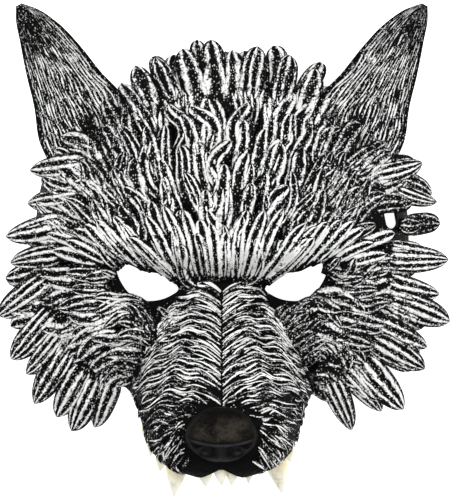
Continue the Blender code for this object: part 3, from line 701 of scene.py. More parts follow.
def sweep(path, up, half, rise, strands, wobble, tone, top_steps=TOP_STEPS):
    """Closed tufts along many paths at once, each with raised strands on its top.

    At v from -1 to 1 across, the top stands at rise * sqrt(1 - v^2) * (0.45 + 0.55 *
    ridge), where ridge = |sin(pi * phase)| ^ 0.8 and phase = strands * (v + 1) / 2 plus
    a slow wobble.  The underside is a shallow arc at -0.35 * rise.  The UV map holds the
    phase and the length along in metres.  Paint is the tone that the brush leaves, made
    up to 0.80 darker towards the tuft's edges as painted shade.
    """
    count, steps = path.shape[:2]
    along = np.gradient(path, axis=1)
    length = np.cumsum(np.linalg.norm(along, axis=-1), axis=1)
    along /= np.linalg.norm(along, axis=-1, keepdims=True)
    side = np.cross(along, up)
    side /= np.linalg.norm(side, axis=-1, keepdims=True)
    up = np.cross(side, along)
    over = np.linspace(-1, 1, top_steps)
    under = np.linspace(1, -1, UNDER_STEPS + 2)[1:-1]
    v = np.concatenate([over, under])
    is_top = np.concatenate([np.ones(top_steps), np.zeros(UNDER_STEPS)])
    way = length / length[:, -1:]
    phase = strands[:, None, None] * (v + 1) / 2
    phase = phase + wobble[:, None, None] * np.sin(
        way[:, :, None] * 5 + 2.5 * v + np.arange(count)[:, None, None])
    ridge = np.abs(np.sin(np.pi * phase)) ** 0.8
    dome = np.sqrt(np.clip(1 - v ** 2, 0, 1))
    top = rise[:, :, None] * dome * (0.45 + 0.55 * ridge)
    bottom = -0.35 * rise[:, :, None] * dome
    height = np.where(is_top > 0, top, bottom)
    points = (path[:, :, None] + side[:, :, None] * (half[:, :, None] * v)[..., None]
              + up[:, :, None] * height[..., None])
    # Up to 0.80 darker towards the tuft's edges: painted shade where a tuft meets its neighbours
    paint = tone[:, :, None] * is_top * (1 - 0.80 * smooth_step(0.70, 0.98, np.abs(v)))
    ring = top_steps + UNDER_STEPS
    uv = np.stack([phase + 11.0 * np.arange(count)[:, None, None],
                   np.broadcast_to(length[:, :, None], phase.shape)], axis=-1)
    faces = closed_tube(steps, ring)
    size = steps * ring + 2
    ends = path[:, [0, -1]]
    points = np.concatenate([points.reshape(count, -1, 3), ends], axis=1).reshape(-1, 3)
    end_uv = uv[:, [0, -1], top_steps // 2]
    uv = np.concatenate([uv.reshape(count, -1, 2), end_uv], axis=1).reshape(-1, 2)
    end_paint = tone[:, [0, -1]]
    paint = np.concatenate([paint.reshape(count, -1), end_paint], axis=1).ravel()
    faces = (faces[None] + size * np.arange(count)[:, None, None]).reshape(-1, 3)
    return points, faces[:, ::-1], uv, paint


def tuft_outline(s, width, pointed, closing):
    """Half width along a tuft: 0.6 at the root, full at a third, closing to its tip.

    It is width / 2 * (0.6 + 0.4 * rise to a third) * (1 - s ^ pointed) ^ closing.
    """
    shape = (0.6 + 0.4 * smooth_step(0, 0.34, s)) * (1 - s ** pointed[:, None]) ** closing
    return 0.5 * width[:, None] * np.maximum(shape, 0.03)


def traced_paths(tip_x, tip_y, length, turn, bend, curl, steps):
    """Paths that end at the tips, traced back against the growth direction.

    The angle gains turn + bend * (share - 1 / 2) + curl * sin(2 * pi * share).
    """
    x, y = tip_x.copy(), tip_y.copy()
    stride = length / (steps - 1)
    trace = [(x, y)]
    for step in range(steps - 1):
        share = 1 - step / (steps - 1)
        angle = fur_direction(x, y) + turn + bend * (share - 0.5)
        angle = angle + curl * math.sin(2 * math.pi * share)
        x = x - stride * np.cos(angle)
        y = y - stride * np.sin(angle)
        trace.append((x, y))
    trace = np.array(trace[::-1])
    return trace[:, 0].T, trace[:, 1].T


def along_paths(values, s):
    """Values of every path at the shares s of its way, between its even steps."""
    place = s * (values.shape[1] - 1)
    low = np.clip(place.astype(int), 0, values.shape[1] - 2)
    share = place - low
    return values[:, low] * (1 - share) + values[:, low + 1] * share


def past_eyes(x, y):
    """Paths begun again outside the eyes, muzzle and right slot, and each one's share left.

    Each path keeps its tip.  Its new root lies just after its last point inside.
    """
    steps = x.shape[1]
    off = np.abs(x) - (EYE_INNER_X + 0.5 * EYE_WIDTH)
    hole = (off / (0.5 * EYE_WIDTH + EYE_ROOM_BESIDE)) ** 2 + (
        (y - EYE_MID_Y) / EYE_ROOM_HALF_HEIGHT) ** 2
    muzzle = (np.abs(x) < MUZZLE_ROOM_SHARE * muzzle_half(y)) & (y < MUZZLE_ROOM_TOP)
    slot = ((x - SLOT_X) / SLOT_ROOM_HALF_WIDTH) ** 2 + (
        (y - SLOT_Y) / SLOT_ROOM_HALF_LENGTH) ** 2
    inside = ((hole < 1) | muzzle | (slot < 1)) * np.arange(1, steps + 1)
    start = np.clip(inside.max(axis=1) / (steps - 1), 0, 1)
    place = (start[:, None] + (1 - start[:, None]) * np.linspace(0, 1, steps)) * (steps - 1)
    low = np.clip(place.astype(int), 0, steps - 2)
    share = place - low
    row = np.arange(len(x))[:, None]
    x = x[row, low] * (1 - share) + x[row, low + 1] * share
    y = y[row, low] * (1 - share) + y[row, low + 1] * share
    return x, y, 1 - start


def laid_tufts(tips, seed, settings, tips_shape, tone_of):
    """Shingled tufts: roots just under the fur's height and tips lifted off it.

    The middle line stands at the fur's height - sink + (lift + sink) * s ^ 1.3, for s
    from 0 at the root to 1 at the tip, and the paint fades in over the first sixth as
    painted shade where the root sinks under the tufts before it.
    """
    rng = np.random.default_rng(seed)
    tip_x, tip_y, length, width, strands = tips
    count = len(tip_x)
    length = length * rng.uniform(*LENGTH_RANGE, count)
    width = width * rng.uniform(*WIDTH_RANGE, count)
    turn, bend, curl = (np.radians(rng.normal(0, spread, count))
                        for spread in (TURN_SPREAD, BEND_SPREAD, CURL_SPREAD))
    x, y = traced_paths(tip_x, tip_y, length, turn, bend, curl, LAID_STEPS)
    x, y, left = past_eyes(x, y)
    kept = left > LEAST_TUFT_LEFT
    x, y, strands = x[kept], y[kept], strands[kept]
    width = (width * (0.65 + 0.35 * left))[kept]
    count = len(x)
    s = 1 - (1 - np.linspace(0, 1, LAID_STEPS)) ** 1.5
    x, y = along_paths(x, s), along_paths(y, s)
    lift = rng.uniform(*LIFT_RANGE, count)[:, None] * settings.tip_lift
    z = fur_height(x, y) - settings.root_sink + (lift + settings.root_sink) * s ** 1.3
    up = outward_of(fur_height, x, y)
    up[..., 0] += np.radians(rng.normal(0, ROLL_SPREAD, count))[:, None]
    path = np.stack([x, y, z], axis=-1)
    low, high, closing = tips_shape
    half = tuft_outline(s, width, rng.uniform(low, high, count), closing)
    rise = settings.tuft_rise * rng.uniform(*RISE_RANGE, count)[:, None]
    rise = rise * (0.45 + 0.55 * np.sin(np.pi * np.clip(s * 0.9 + 0.12, 0, 1)))
    rise = rise * (1 - 0.6 * s ** 4)
    # The paint fades in over the first sixth: painted shade where the root sinks into the fur
    tone = tone_of(x, y) * smooth_step(0.0, 0.16, s)
    return sweep(path, up, half, rise, strands, rng.uniform(0.03, 0.12, count), tone)


def row_tips(table, rng, reach_spread, strand_choice, place):
    """Tips of staggered rows: places, lengths, widths and numbers of strands.

    Tuft i of n in a row stands at the first angle plus (i + 0.7 or 0.3) / n of the way to
    the last one, and place turns its angle and reach into x and y.
    """
    rows = []
    for number, (reach, first, last, count, length, width) in enumerate(table):
        count = int(count)
        spread = (last - first) / count
        angle = first + spread * (np.arange(count) + (0.30 if number % 2 else 0.70))
        angle = angle + rng.normal(0, STAGGER_SPREAD * spread, count)
        x, y = place(angle, reach + rng.normal(0, reach_spread, count))
        rows.append(np.column_stack([x, y, np.full(count, length), np.full(count, width),
                                     rng.choice(strand_choice, count)]))
    return np.concatenate(rows).T


def lay_fur(name, swept, material, *nodes):
    """Add swept tufts as one piece of painted fur."""
    points, faces, uv, paint = swept
    seat(add_piece(name, points, faces, [material], uv, paint), "painted_fur", *nodes)


class Shades:
    """Short calls for building one material's node tree."""

    def __init__(self, name):
        self.material = bpy.data.materials.new(name)
        self.material.use_nodes = True
        self.tree = self.material.node_tree
        self.shader = self.tree.nodes["Principled BSDF"]

    def node(self, kind, **settings):
        made = self.tree.nodes.new(kind)
        for key, value in settings.items():
            setattr(made, key, value)
        return made

    def put(self, socket, value):
        if isinstance(value, bpy.types.NodeSocket):
            self.tree.links.new(value, socket)
        else:
            socket.default_value = value

    def math(self, operation, first, second=0.0, third=0.0, clamp=False):
        made = self.node("ShaderNodeMath", operation=operation, use_clamp=clamp)
        for socket, value in zip(made.inputs, (first, second, third)):
            self.put(socket, value)
        return made.outputs[0]

    def noise(self, vector, scale, detail=3.0, rough=0.55, distortion=0.0):
        made = self.node("ShaderNodeTexNoise")
        self.put(made.inputs["Vector"], vector)
        made.inputs["Scale"].default_value = scale
        made.inputs["Detail"].default_value = detail
        made.inputs["Roughness"].default_value = rough
        made.inputs["Distortion"].default_value = distortion
        return made.outputs["Fac"]

    def ramp(self, value, low, high):
        made = self.node("ShaderNodeMapRange", interpolation_type="SMOOTHSTEP")
        self.put(made.inputs["Value"], value)
        made.inputs["From Min"].default_value = low
        made.inputs["From Max"].default_value = high
        return made.outputs["Result"]

    def mix(self, factor, first, second):
        made = self.node("ShaderNodeMix", data_type="RGBA")
        self.put(made.inputs["Factor"], factor)
        self.put(made.inputs["A"], first)
        self.put(made.inputs["B"], second)
        return made.outputs["Result"]

    def bump(self, height, distance, strength, under=None):
        made = self.node("ShaderNodeBump")
        self.put(made.inputs["Height"], height)
        made.inputs["Distance"].default_value = distance
        made.inputs["Strength"].default_value = strength
        if under is not None:
            self.put(made.inputs["Normal"], under)
        return made.outputs["Normal"]

    def scaled(self, vector, factors):
        made = self.node("ShaderNodeVectorMath", operation="MULTIPLY")
        self.put(made.inputs[0], vector)
        made.inputs[1].default_value = factors
        return made.outputs[0]

    def attribute(self, name):
        return self.node("ShaderNodeAttribute", attribute_name=name).outputs["Fac"]

    def finish(self, colour, roughness, normal=None):
        self.put(self.shader.inputs["Base Color"], colour)
        self.put(self.shader.inputs["Roughness"], roughness)
        if normal is not None:
            self.put(self.shader.inputs["Normal"], normal)
        return self.material


def specks(s, here, paint):
    """Small round dots of paint in clusters, most of them where the brush has been."""
    cells = s.node("ShaderNodeTexVoronoi")
    s.put(cells.inputs["Vector"], here)
    cells.inputs["Scale"].default_value = SPECK_CELLS
    chosen = s.node("ShaderNodeSeparateXYZ")
    s.put(chosen.inputs[0], cells.outputs["Color"])
    dots = s.math("SUBTRACT", 1.0, s.ramp(cells.outputs["Distance"], 0.20, 0.38))
    here_and_there = s.ramp(chosen.outputs["X"], 0.45, 0.60)
    dots = s.math("MULTIPLY", dots, here_and_there)
    return s.math("MULTIPLY", dots, s.ramp(paint, 0.02, 0.35))


def dry_brushed(name, settings, ridge_share, edge, streak_size=(4.0, 260.0), streak=0.9,
                patch=0.5):
    """Black moulded fur whose ridges have caught white paint in broken streaks."""
    s = Shades(name)
    uv = s.node("ShaderNodeUVMap", uv_map="strand").outputs["UV"]
    here = s.node("ShaderNodeTexCoord").outputs["Object"]
    phase = s.node("ShaderNodeSeparateXYZ")
    s.put(phase.inputs[0], uv)
    ridge = s.math("ABSOLUTE", s.math("SINE", s.math("MULTIPLY", phase.outputs["X"], math.pi)))
    streaks = s.noise(s.scaled(uv, (*streak_size, 1.0)), 1.0, 4.0, 0.6)
    flecks = s.noise(here, 900.0, 2.0, 0.6)
    patches = s.noise(here, 90.0, 2.0)
    tone = s.math("MULTIPLY", s.attribute("paint"),
                  s.math("ADD", s.math("MULTIPLY", ridge, ridge_share), 1.0 - ridge_share))
    tone = s.math("ADD", tone, s.math("MULTIPLY", s.math("SUBTRACT", streaks, 0.5), streak))
    tone = s.math("ADD", tone, s.math("MULTIPLY", s.math("SUBTRACT", flecks, 0.5), 0.6))
    tone = s.math("ADD", tone, s.math("MULTIPLY", s.math("SUBTRACT", patches, 0.5), patch))
    brushed = s.ramp(tone, edge - BRUSH_SOFTNESS, edge + BRUSH_SOFTNESS)
    black = s.mix(flecks, (*settings.groove_colour, 1.0), WORN_BLACK)
    black = s.mix(specks(s, here, s.attribute("paint")), black, SPECK_WHITE)
    white = s.mix(s.ramp(patches, 0.35, 0.75), (*settings.ridge_colour, 1.0), DULL_WHITE)
    height = s.math("ADD", s.math("MULTIPLY", ridge, 0.7), s.math("MULTIPLY", streaks, 0.5))
    normal = s.bump(height, 0.0007, 0.7)
    normal = s.bump(s.math("ADD", flecks, s.math("MULTIPLY", brushed, 0.6)), 0.00015, 0.6, normal)
    roughness = s.math("ADD", 0.50, s.math("MULTIPLY", brushed, 0.22))
    s.shader.inputs["Specular IOR Level"].default_value = FUR_SHINE
    return s.finish(s.mix(brushed, black, white), roughness, normal)


def black_skin(name, settings):
    """Painted black hide with fine pits and a few white flecks on its high spots."""
    s = Shades(name)
    here = s.node("ShaderNodeTexCoord").outputs["Object"]
    grain = s.noise(here, 1100.0, 4.0, 0.6)
    folds = s.noise(here, 240.0, 3.0, 0.6, 1.0)
    place = s.node("ShaderNodeSeparateXYZ")
    s.put(place.inputs[0], here)
    chin = float(FACE_SHIFT[1]) - CHIN_BELOW
    clear = s.math("MULTIPLY", s.ramp(place.outputs["Y"], chin, chin + CHIN_BLEND), 0.8)
    flecks = s.math("MULTIPLY", specks(s, here, s.ramp(folds, 0.52, 0.66)), clear)
    colour = s.mix(flecks, (*settings.groove_colour, 1.0), HIDE_FLECK)
    normal = s.bump(folds, 0.0012, 0.7)
    normal = s.bump(grain, 0.0003, 0.6, normal)
    s.shader.inputs["Specular IOR Level"].default_value = FUR_SHINE
    return s.finish(colour, s.math("ADD", 0.42, s.math("MULTIPLY", grain, 0.3)), normal)


def foam_back(name):
    """Plain dark foam lining with small cells."""
    s = Shades(name)
    here = s.node("ShaderNodeTexCoord").outputs["Object"]
    cells = s.node("ShaderNodeTexVoronoi")
    s.put(cells.inputs["Vector"], here)
    cells.inputs["Scale"].default_value = FOAM_CELLS
    mottle = s.noise(here, 60.0, 3.0)
    colour = s.mix(mottle, FOAM_DARK, FOAM_LIGHT)
    return s.finish(colour, 0.85, s.bump(cells.outputs["Distance"], 0.0004, 0.5))


def nose_leather(name, settings):
    """Near-black leather with pebbled grain; its flat top is duller and carries a painted
    brownish sheen, and its front carries painted highlights.
    """
    s = Shades(name)
    here = s.node("ShaderNodeTexCoord").outputs["Object"]
    pebbles = s.node("ShaderNodeTexVoronoi", feature="SMOOTH_F1")
    s.put(pebbles.inputs["Vector"], here)
    pebbles.inputs["Scale"].default_value = PEBBLE_CELLS
    grain = s.noise(here, 700.0, 4.0, 0.6)
    patches = s.noise(here, 120.0, 3.0)
    top = s.attribute("paint")
    # Painted brownish sheen in patches on the flat top, which is also made rougher
    painted_top_sheen = s.math("MULTIPLY", top, s.ramp(s.math("ADD", patches, s.math(
        "MULTIPLY", grain, 0.5)), 0.55, 1.0), clamp=True)
    colour = s.mix(painted_top_sheen, (*settings.colour, 1.0), (*settings.top_sheen_colour, 1.0))
    # Painted highlights where paint is below 0: the front's edge, two glints and the septum
    painted_highlight = s.math("SUBTRACT", 0.0, top, clamp=True)
    colour = s.mix(painted_highlight, colour, NOSE_SHEEN)
    normal = s.bump(pebbles.outputs["Distance"], 0.0005, 0.6)
    normal = s.bump(grain, 0.00025, 0.6, normal)
    roughness = s.math("ADD", 0.40, s.math("MULTIPLY", painted_top_sheen, 0.30))
    s.shader.inputs["Specular IOR Level"].default_value = NOSE_SHINE
    return s.finish(colour, roughness, normal)


def tooth_ivory(name, settings):
    """Ivory plastic, yellower at the root, with fine lengthwise lines."""
    s = Shades(name)
    uv = s.node("ShaderNodeUVMap", uv_map="strand").outputs["UV"]
    here = s.node("ShaderNodeTexCoord").outputs["Object"]
    lines = s.noise(s.scaled(uv, (14.0, 90.0, 1.0)), 1.0, 3.0)
    stains = s.noise(here, 320.0, 3.0)
    root = s.attribute("paint")
    colour = s.mix(root, (*settings.tip_colour, 1.0), (*settings.root_colour, 1.0))
    stained = s.math("MULTIPLY", s.ramp(stains, 0.45, 0.8), 0.45)
    colour = s.mix(stained, colour, TOOTH_STAIN)
    normal = s.bump(lines, 0.0003, 0.5)
    s.shader.inputs["Subsurface Weight"].default_value = 0.08
    s.shader.inputs["Subsurface Radius"].default_value = (0.002, 0.0015, 0.001)
    return s.finish(colour, s.math("ADD", 0.28, s.math("MULTIPLY", stains, 0.2)), normal)


class MaskFurSettings(bpy.types.PropertyGroup):
    """Sizes and colours of the moulded fur."""

    seed: IntProperty(
        name="Seed", description="Start of the tufts' random draws", default=7, min=0)
    tip_lift: FloatProperty(
        name="Tip lift", description="Height of a tuft's tip above the fur's surface",
        default=0.0048, min=0.0, max=0.01, unit="LENGTH")
    root_sink: FloatProperty(
        name="Root sink", description="Depth of a tuft's root below the fur's surface",
        default=0.0012, min=0.0, max=0.005, unit="LENGTH")
    tuft_rise: FloatProperty(
        name="Tuft rise", description="Height of a tuft's crown above its own middle line",
        default=0.0040, min=0.0005, max=0.01, unit="LENGTH")
    hair_width: FloatProperty(
        name="Hair width", description="Width of a short hair on the muzzle",
        default=0.0018, min=0.0005, max=0.005, unit="LENGTH")
    ridge_colour: FloatVectorProperty(
        name="Ridge paint", description="Paint that the ridges catch",
        default=(0.88, 0.88, 0.87), min=0.0, max=1.0, subtype="COLOR")
    groove_colour: FloatVectorProperty(
        name="Groove colour", description="Base colour left in the grooves",
        default=(0.002, 0.002, 0.002), min=0.0, max=1.0, subtype="COLOR")


class MaskEarSettings(bpy.types.PropertyGroup):
    """Sizes of the ears."""

    groove_depth: FloatProperty(
        name="Groove depth", description="Depth of the lengthwise grooves in the ear",
        default=0.0009, min=0.0, max=0.003, unit="LENGTH")
    grooves: IntProperty(
        name="Grooves", description="Number of grooves across the ear", default=24, min=1)


class MaskNoseSettings(bpy.types.PropertyGroup):
    """Sizes and colours of the nose."""

    nostril_depth: FloatProperty(
        name="Nostril depth", description="Depth of each nostril",
        default=0.0045, min=0.0, max=0.01, unit="LENGTH")
    colour: FloatVectorProperty(
        name="Leather", description="Colour of the nose", default=(0.0025, 0.0022, 0.0020),
        min=0.0, max=1.0, subtype="COLOR")
    # Colour of the painted brownish sheen on the flat top
    top_sheen_colour: FloatVectorProperty(
        name="Top sheen", description="Colour of the nose's flat top",
        default=(0.033, 0.028, 0.022), min=0.0, max=1.0, subtype="COLOR")


class MaskTeethSettings(bpy.types.PropertyGroup):
    """Colours of the teeth."""

    tip_colour: FloatVectorProperty(
        name="Tip", description="Colour towards the tips", default=(0.80, 0.78, 0.66),
        min=0.0, max=1.0, subtype="COLOR")
    root_colour: FloatVectorProperty(
        name="Root", description="Colour towards the roots", default=(0.62, 0.54, 0.30),
        min=0.0, max=1.0, subtype="COLOR")


class MaskStageSettings(bpy.types.PropertyGroup):
    """Floor, light and camera."""

    camera_height: FloatProperty(
        name="Camera height", description="Height of the camera above the floor",
        default=1.1, min=0.3, unit="LENGTH")
    view_height: FloatProperty(
        name="View height", description="Length of the floor that the picture's long side shows",
        default=0.270, min=0.05, unit="LENGTH")
    light_power: FloatProperty(
        name="Light power", description="Power of each softbox in watts",
        default=5.5, min=0.0)
    floor_colour: FloatVectorProperty(
        name="Floor", description="Colour of the pale floor", default=(0.90, 0.90, 0.90),
        min=0.0, max=1.0, subtype="COLOR")


def cutter_prism(name, outline, low, high):
    """Closed prism over a flat outline, used once to cut a hole."""
    if np.sum(outline[:, 0] * np.roll(outline[:, 1], -1)
              - np.roll(outline[:, 0], -1) * outline[:, 1]) < 0:
        outline = outline[::-1]
    size = len(outline)
    levels = [np.column_stack([outline, np.full(size, level)]) for level in (low, high)]
    middles = np.array([[*outline.mean(axis=0), low], [*outline.mean(axis=0), high]])
    points = np.concatenate(levels + [middles])
    return add_piece(name, points, closed_tube(2, size), [], smooth=False)


def rounded_outline(outline, count):
    """Closed smooth curve through an outline's points, by cubic steps between them."""
    size = len(outline)
    stations = np.arange(-3.0, size + 4.0)
    looped = outline[np.arange(-3, size + 4) % size]
    at = np.linspace(0, size, count, endpoint=False)
    return np.column_stack([curve_through(stations, looped[:, axis], at) for axis in (0, 1)])


class MASK_OT_face_skin(bpy.types.Operator):
    """Build the hollow face with its black hide, eye holes, strap slots and foam back"""

    bl_idname = "mask.face_skin"
    bl_label = "Face skin"

    def execute(self, context):
        settings = context.scene.mask_fur
        rim_columns, lip_columns, rings = 152, 72, 56
        degrees = np.linspace(RIM_FIRST_DEGREES, RIM_LAST_DEGREES, rim_columns)
        pull = np.clip((np.abs(degrees - 90) - PULL_FROM_DEGREES) / PULL_OVER_DEGREES, 0, 1)
        rim_x, rim_y = rim_points(degrees, 1 - PULL_SHARE * pull ** 2 * (3 - 2 * pull))
        lip_x, lip_y = lip_points(np.linspace(0, 1, lip_columns))
        edge_x = np.concatenate([rim_x, lip_x])
        edge_y = np.concatenate([rim_y, lip_y])
        drop = np.concatenate([SKIRT * (1 - PULL_SKIRT * pull), np.zeros(lip_columns)])

        # The rings lie at shares of the way from the bridge to the edge, closer together
        # near the edge, and each point stands at the skin's height
        way = 1 - (1 - np.arange(1, rings + 1) / rings) ** RING_CROWDING
        x = way[:, None] * edge_x
        y = BRIDGE_Y + way[:, None] * (edge_y - BRIDGE_Y)
        z = skin_height(x, y)
        z[-1] -= drop
        columns = len(edge_x)
        bridge_z = float(skin_height(np.zeros(1), np.full(1, BRIDGE_Y))[0])
        pole = np.array([[0.0, BRIDGE_Y, bridge_z]])
        points = np.concatenate([np.stack([x, y, z], axis=-1).reshape(-1, 3), pole])
        corner = np.arange(columns)
        fan = np.stack([corner, (corner + 1) % columns, np.full(columns, rings * columns)], axis=-1)
        faces = np.concatenate([grid_triangles(rings, columns, True)[:, ::-1], fan])
        skin = add_piece("face_skin", points, faces,
                         [black_skin("black_hide", settings), foam_back("foam_back")])
        wall = skin.modifiers.new("wall", "SOLIDIFY")
        wall.thickness, wall.offset, wall.use_rim = WALL, -1.0, True
        wall.material_offset, wall.material_offset_rim = 1, 0
        holes = []
        for number, side in enumerate((-1, 1)):
            eye = rounded_outline(EYE_OUTLINE, EYE_CORNERS)
            eye = np.column_stack([side * (EYE_INNER_X + eye[:, 0] * EYE_WIDTH),
                                   EYE_MID_Y + eye[:, 1] * EYE_HEIGHT])
            holes.append(cutter_prism(f"eye_cut_{number}", eye, *EYE_CUT))
            angle = np.radians(np.arange(0, 360, 10))
            end = np.where(np.sin(angle + 0.01) > 0, 0.5, -0.5) * (SLOT_LENGTH - SLOT_WIDTH)
            slot_x = 0.5 * SLOT_WIDTH * np.cos(angle)
            slot_y = 0.5 * SLOT_WIDTH * np.sin(angle) + end
            turned_x = slot_x * math.cos(SLOT_TURN) - slot_y * math.sin(SLOT_TURN)
            turned_y = slot_x * math.sin(SLOT_TURN) + slot_y * math.cos(SLOT_TURN)
            slot = np.column_stack([side * (SLOT_X + turned_x), SLOT_Y + turned_y])
            holes.append(cutter_prism(f"slot_cut_{number}", slot, *SLOT_CUT))
        floor = FLOOR_CUT_HALF_WIDTH * np.array([(-1, -1), (1, -1), (1, 1), (-1, 1)])
        holes.append(cutter_prism("floor_cut", floor, *FLOOR_CUT))
        for hole in holes:
            cut = skin.modifiers.new(hole.name, "BOOLEAN")
            cut.operation, cut.object, cut.solver = "DIFFERENCE", hole, "EXACT"
        graph = context.evaluated_depsgraph_get()
        made = bpy.data.meshes.new_from_object(skin.evaluated_get(graph))
        if len(made.polygons) < len(faces):
            raise RuntimeError("the face skin lost its surface while its holes were cut")
        rough = skin.data
        skin.modifiers.clear()
        skin.data = made
        bpy.data.meshes.remove(rough)
        for hole in holes:
            bpy.data.objects.remove(hole, do_unlink=True)
        seat(skin, "painted_fur", "mask_shell")
        return {"FINISHED"}


class MASK_OT_rim_tufts(bpy.types.Operator):
    """Build the large pointed tufts that make the mask's outline"""

    bl_idname = "mask.rim_tufts"
    bl_label = "Rim tufts"

    def execute(self, context):
        settings = context.scene.mask_fur
        rng = np.random.default_rng(settings.seed + 1)
        angle, reach, size, lean = RIM_TUFTS.T
        count = len(angle)

        # The middle line is (1 - s)^2 * root + 2s(1 - s) * middle + s^2 * tip
        out = np.column_stack([np.cos(np.radians(angle)), np.sin(np.radians(angle))])
        rim = 1 / face_share(out[:, 0], out[:, 1] + FACE_CENTRE_Y)
        end = (rim + reach * LOCK_LENGTH)[:, None] * out + (0.0, FACE_CENTRE_Y)
        turn = np.radians(angle + lean)
        back = np.column_stack([np.cos(turn), np.sin(turn)])
        start = end - (size * LOCK_LENGTH * RIM_TUFT_STRETCH)[:, None] * back
        half_way = (start + end) / 2
        across = np.column_stack([-back[:, 1], back[:, 0]])
        half_way = half_way + across * rng.normal(0, RIM_SWAY, count)[:, None]
        high = 0.5 * (1 + np.sin(np.radians(angle)))
        tip_z = RIM_TIP_Z * (1 + RIM_TIP_GAIN * high)
        root_z = np.minimum(fur_height(*start.T), RIM_ROOT_TOP) - LOCK_SINK
        root = np.column_stack([start, root_z])
        tip = np.column_stack([end, tip_z])
        middle_z = np.minimum(fur_height(*half_way.T), RIM_MIDDLE_TOP)
        middle_z = np.maximum(middle_z, tip_z) + RIM_LOCK_ARCH * LOCK_HEIGHT
        middle = np.column_stack([half_way, middle_z])
        s = 1 - (1 - np.linspace(0, 1, SWEPT_STEPS)[None, :, None]) ** 1.4
        path = ((1 - s) ** 2 * root[:, None] + 2 * s * (1 - s) * middle[:, None]
                + s ** 2 * tip[:, None])
        up = np.broadcast_to((0.0, 0.0, 1.0), path.shape).copy()
        up[..., 0] += rng.normal(0, RIM_ROLL, count)[:, None]
        width = LOCK_WIDTH * RIM_TUFT_WIDENING * size
        s = s[0, :, 0]

        # Tufts over the top of the head are blunt
        blunt = smooth_step(40, 70, angle) * (angle < 130)
        low, high, closing = RIM_TIPS
        pointed = rng.uniform(low, high, count) + RIM_BLUNTER * blunt
        half = tuft_outline(s, width, pointed, closing)
        rise = LOCK_HEIGHT * (0.55 + 0.45 * np.sin(np.pi * s)) * (1 - 0.7 * s ** 3)
        rise = rise * rng.uniform(0.85, 1.15, count)[:, None]
        # The paint fades in over the first quarter: painted shade where the root leaves the fur
        tone = smooth_step(0.0, 0.25, s) * (RIM_TONE - RIM_BLUNT_DARKER * blunt)[:, None]
        strands = np.where(blunt > 0.5, rng.integers(2, 4, count), rng.integers(3, 5, count))
        swept = sweep(path, up, half, rise, strands, rng.uniform(0.05, 0.15, count), tone)
        material = dry_brushed("brushed_fur_rim", settings, ridge_share=0.85, edge=0.74)
        lay_fur("rim_tufts", swept, material, "mask_shell")
        return {"FINISHED"}


class MASK_OT_forehead_fur(bpy.types.Operator):
    """Build the shingled tufts that fan upwards over the forehead"""

    bl_idname = "mask.forehead_fur"
    bl_label = "Forehead fur"

    def execute(self, context):
        settings = context.scene.mask_fur
        rng = np.random.default_rng(settings.seed + 2)

        def place(angle, reach):
            turn = np.radians(angle)
            return reach * np.cos(turn), reach * np.sin(turn) - FOREHEAD_CENTRE_BELOW

        def tone_of(x, y):
            return FOREHEAD_TONE - FOREHEAD_SIDES_DARKER * smooth_step(0.030, 0.060, np.abs(x))

        tips = row_tips(FOREHEAD_RINGS, rng, FOREHEAD_REACH_SPREAD, [2, 2, 2, 3], place)
        swept = laid_tufts(tips, settings.seed + 3, settings, FOREHEAD_TIPS, tone_of)
        material = dry_brushed("brushed_fur_forehead", settings, ridge_share=0.90, edge=0.87)
        lay_fur("forehead_fur", swept, material, "mask_shell")
        return {"FINISHED"}


class MASK_OT_brow_fur(bpy.types.Operator):
    """Build the long strands that sweep over each eye"""

    bl_idname = "mask.brow_fur"
    bl_label = "Brow fur"

    def execute(self, context):
        settings = context.scene.mask_fur
        rng = np.random.default_rng(settings.seed + 4)
        start_x, start_y, end_x, end_y, raised = np.tile(BROW_TUFTS.T, 2)
        side = np.repeat((-1.0, 1.0), len(BROW_TUFTS))
        count = len(side)
        shake = rng.normal(0, BROW_SHAKE, (3, 2, count))
        start = np.stack([start_x, start_y]) + 0.5 * shake[0]
        end = np.stack([end_x, end_y]) + 2 * shake[2]
        middle = (start + end) / 2 + BROW_BOW + shake[1]

        # Seen from the front the line is (1 - s)^2 * start + 2s(1 - s) * middle + s^2 * end,
        # and it climbs off the fur by BROW_CLIMB * s^1.5
        s = np.linspace(0, 1, SWEPT_STEPS)[None, :]
        x, y = ((1 - s) ** 2 * start[axis][:, None] + 2 * s * (1 - s) * middle[axis][:, None]
                + s ** 2 * end[axis][:, None] for axis in (0, 1))
        x = x * side[:, None]
        s = s[0]
        z = fur_height(x, y) + BROW_CLEAR + BROW_CLIMB * s ** 1.5 + raised[:, None]
        path = np.stack([x, y, z], axis=-1)
        up = outward_of(fur_height, x, y)
        width = rng.uniform(*BROW_WIDTHS, count)
        low, high, closing = BROW_TIPS
        half = tuft_outline(s, width, rng.uniform(low, high, count), closing)
        rise = BROW_CROWN * (0.5 + 0.5 * np.sin(np.pi * s)) * np.ones((count, 1))
        # The paint fades in over the first seventh: painted shade at the root, where it lies on the
        # fur
        tone = smooth_step(0.0, 0.14, s) * BROW_TONE * np.ones((count, 1))
        strands = np.full(count, 2.0)
        swept = sweep(path, up, half, rise, strands, rng.uniform(0.02, 0.08, count), tone,
                      BROW_TOP_STEPS)
        material = dry_brushed("brushed_fur_brow", settings, ridge_share=0.85, edge=0.76)
        lay_fur("brow_fur", swept, material)
        return {"FINISHED"}


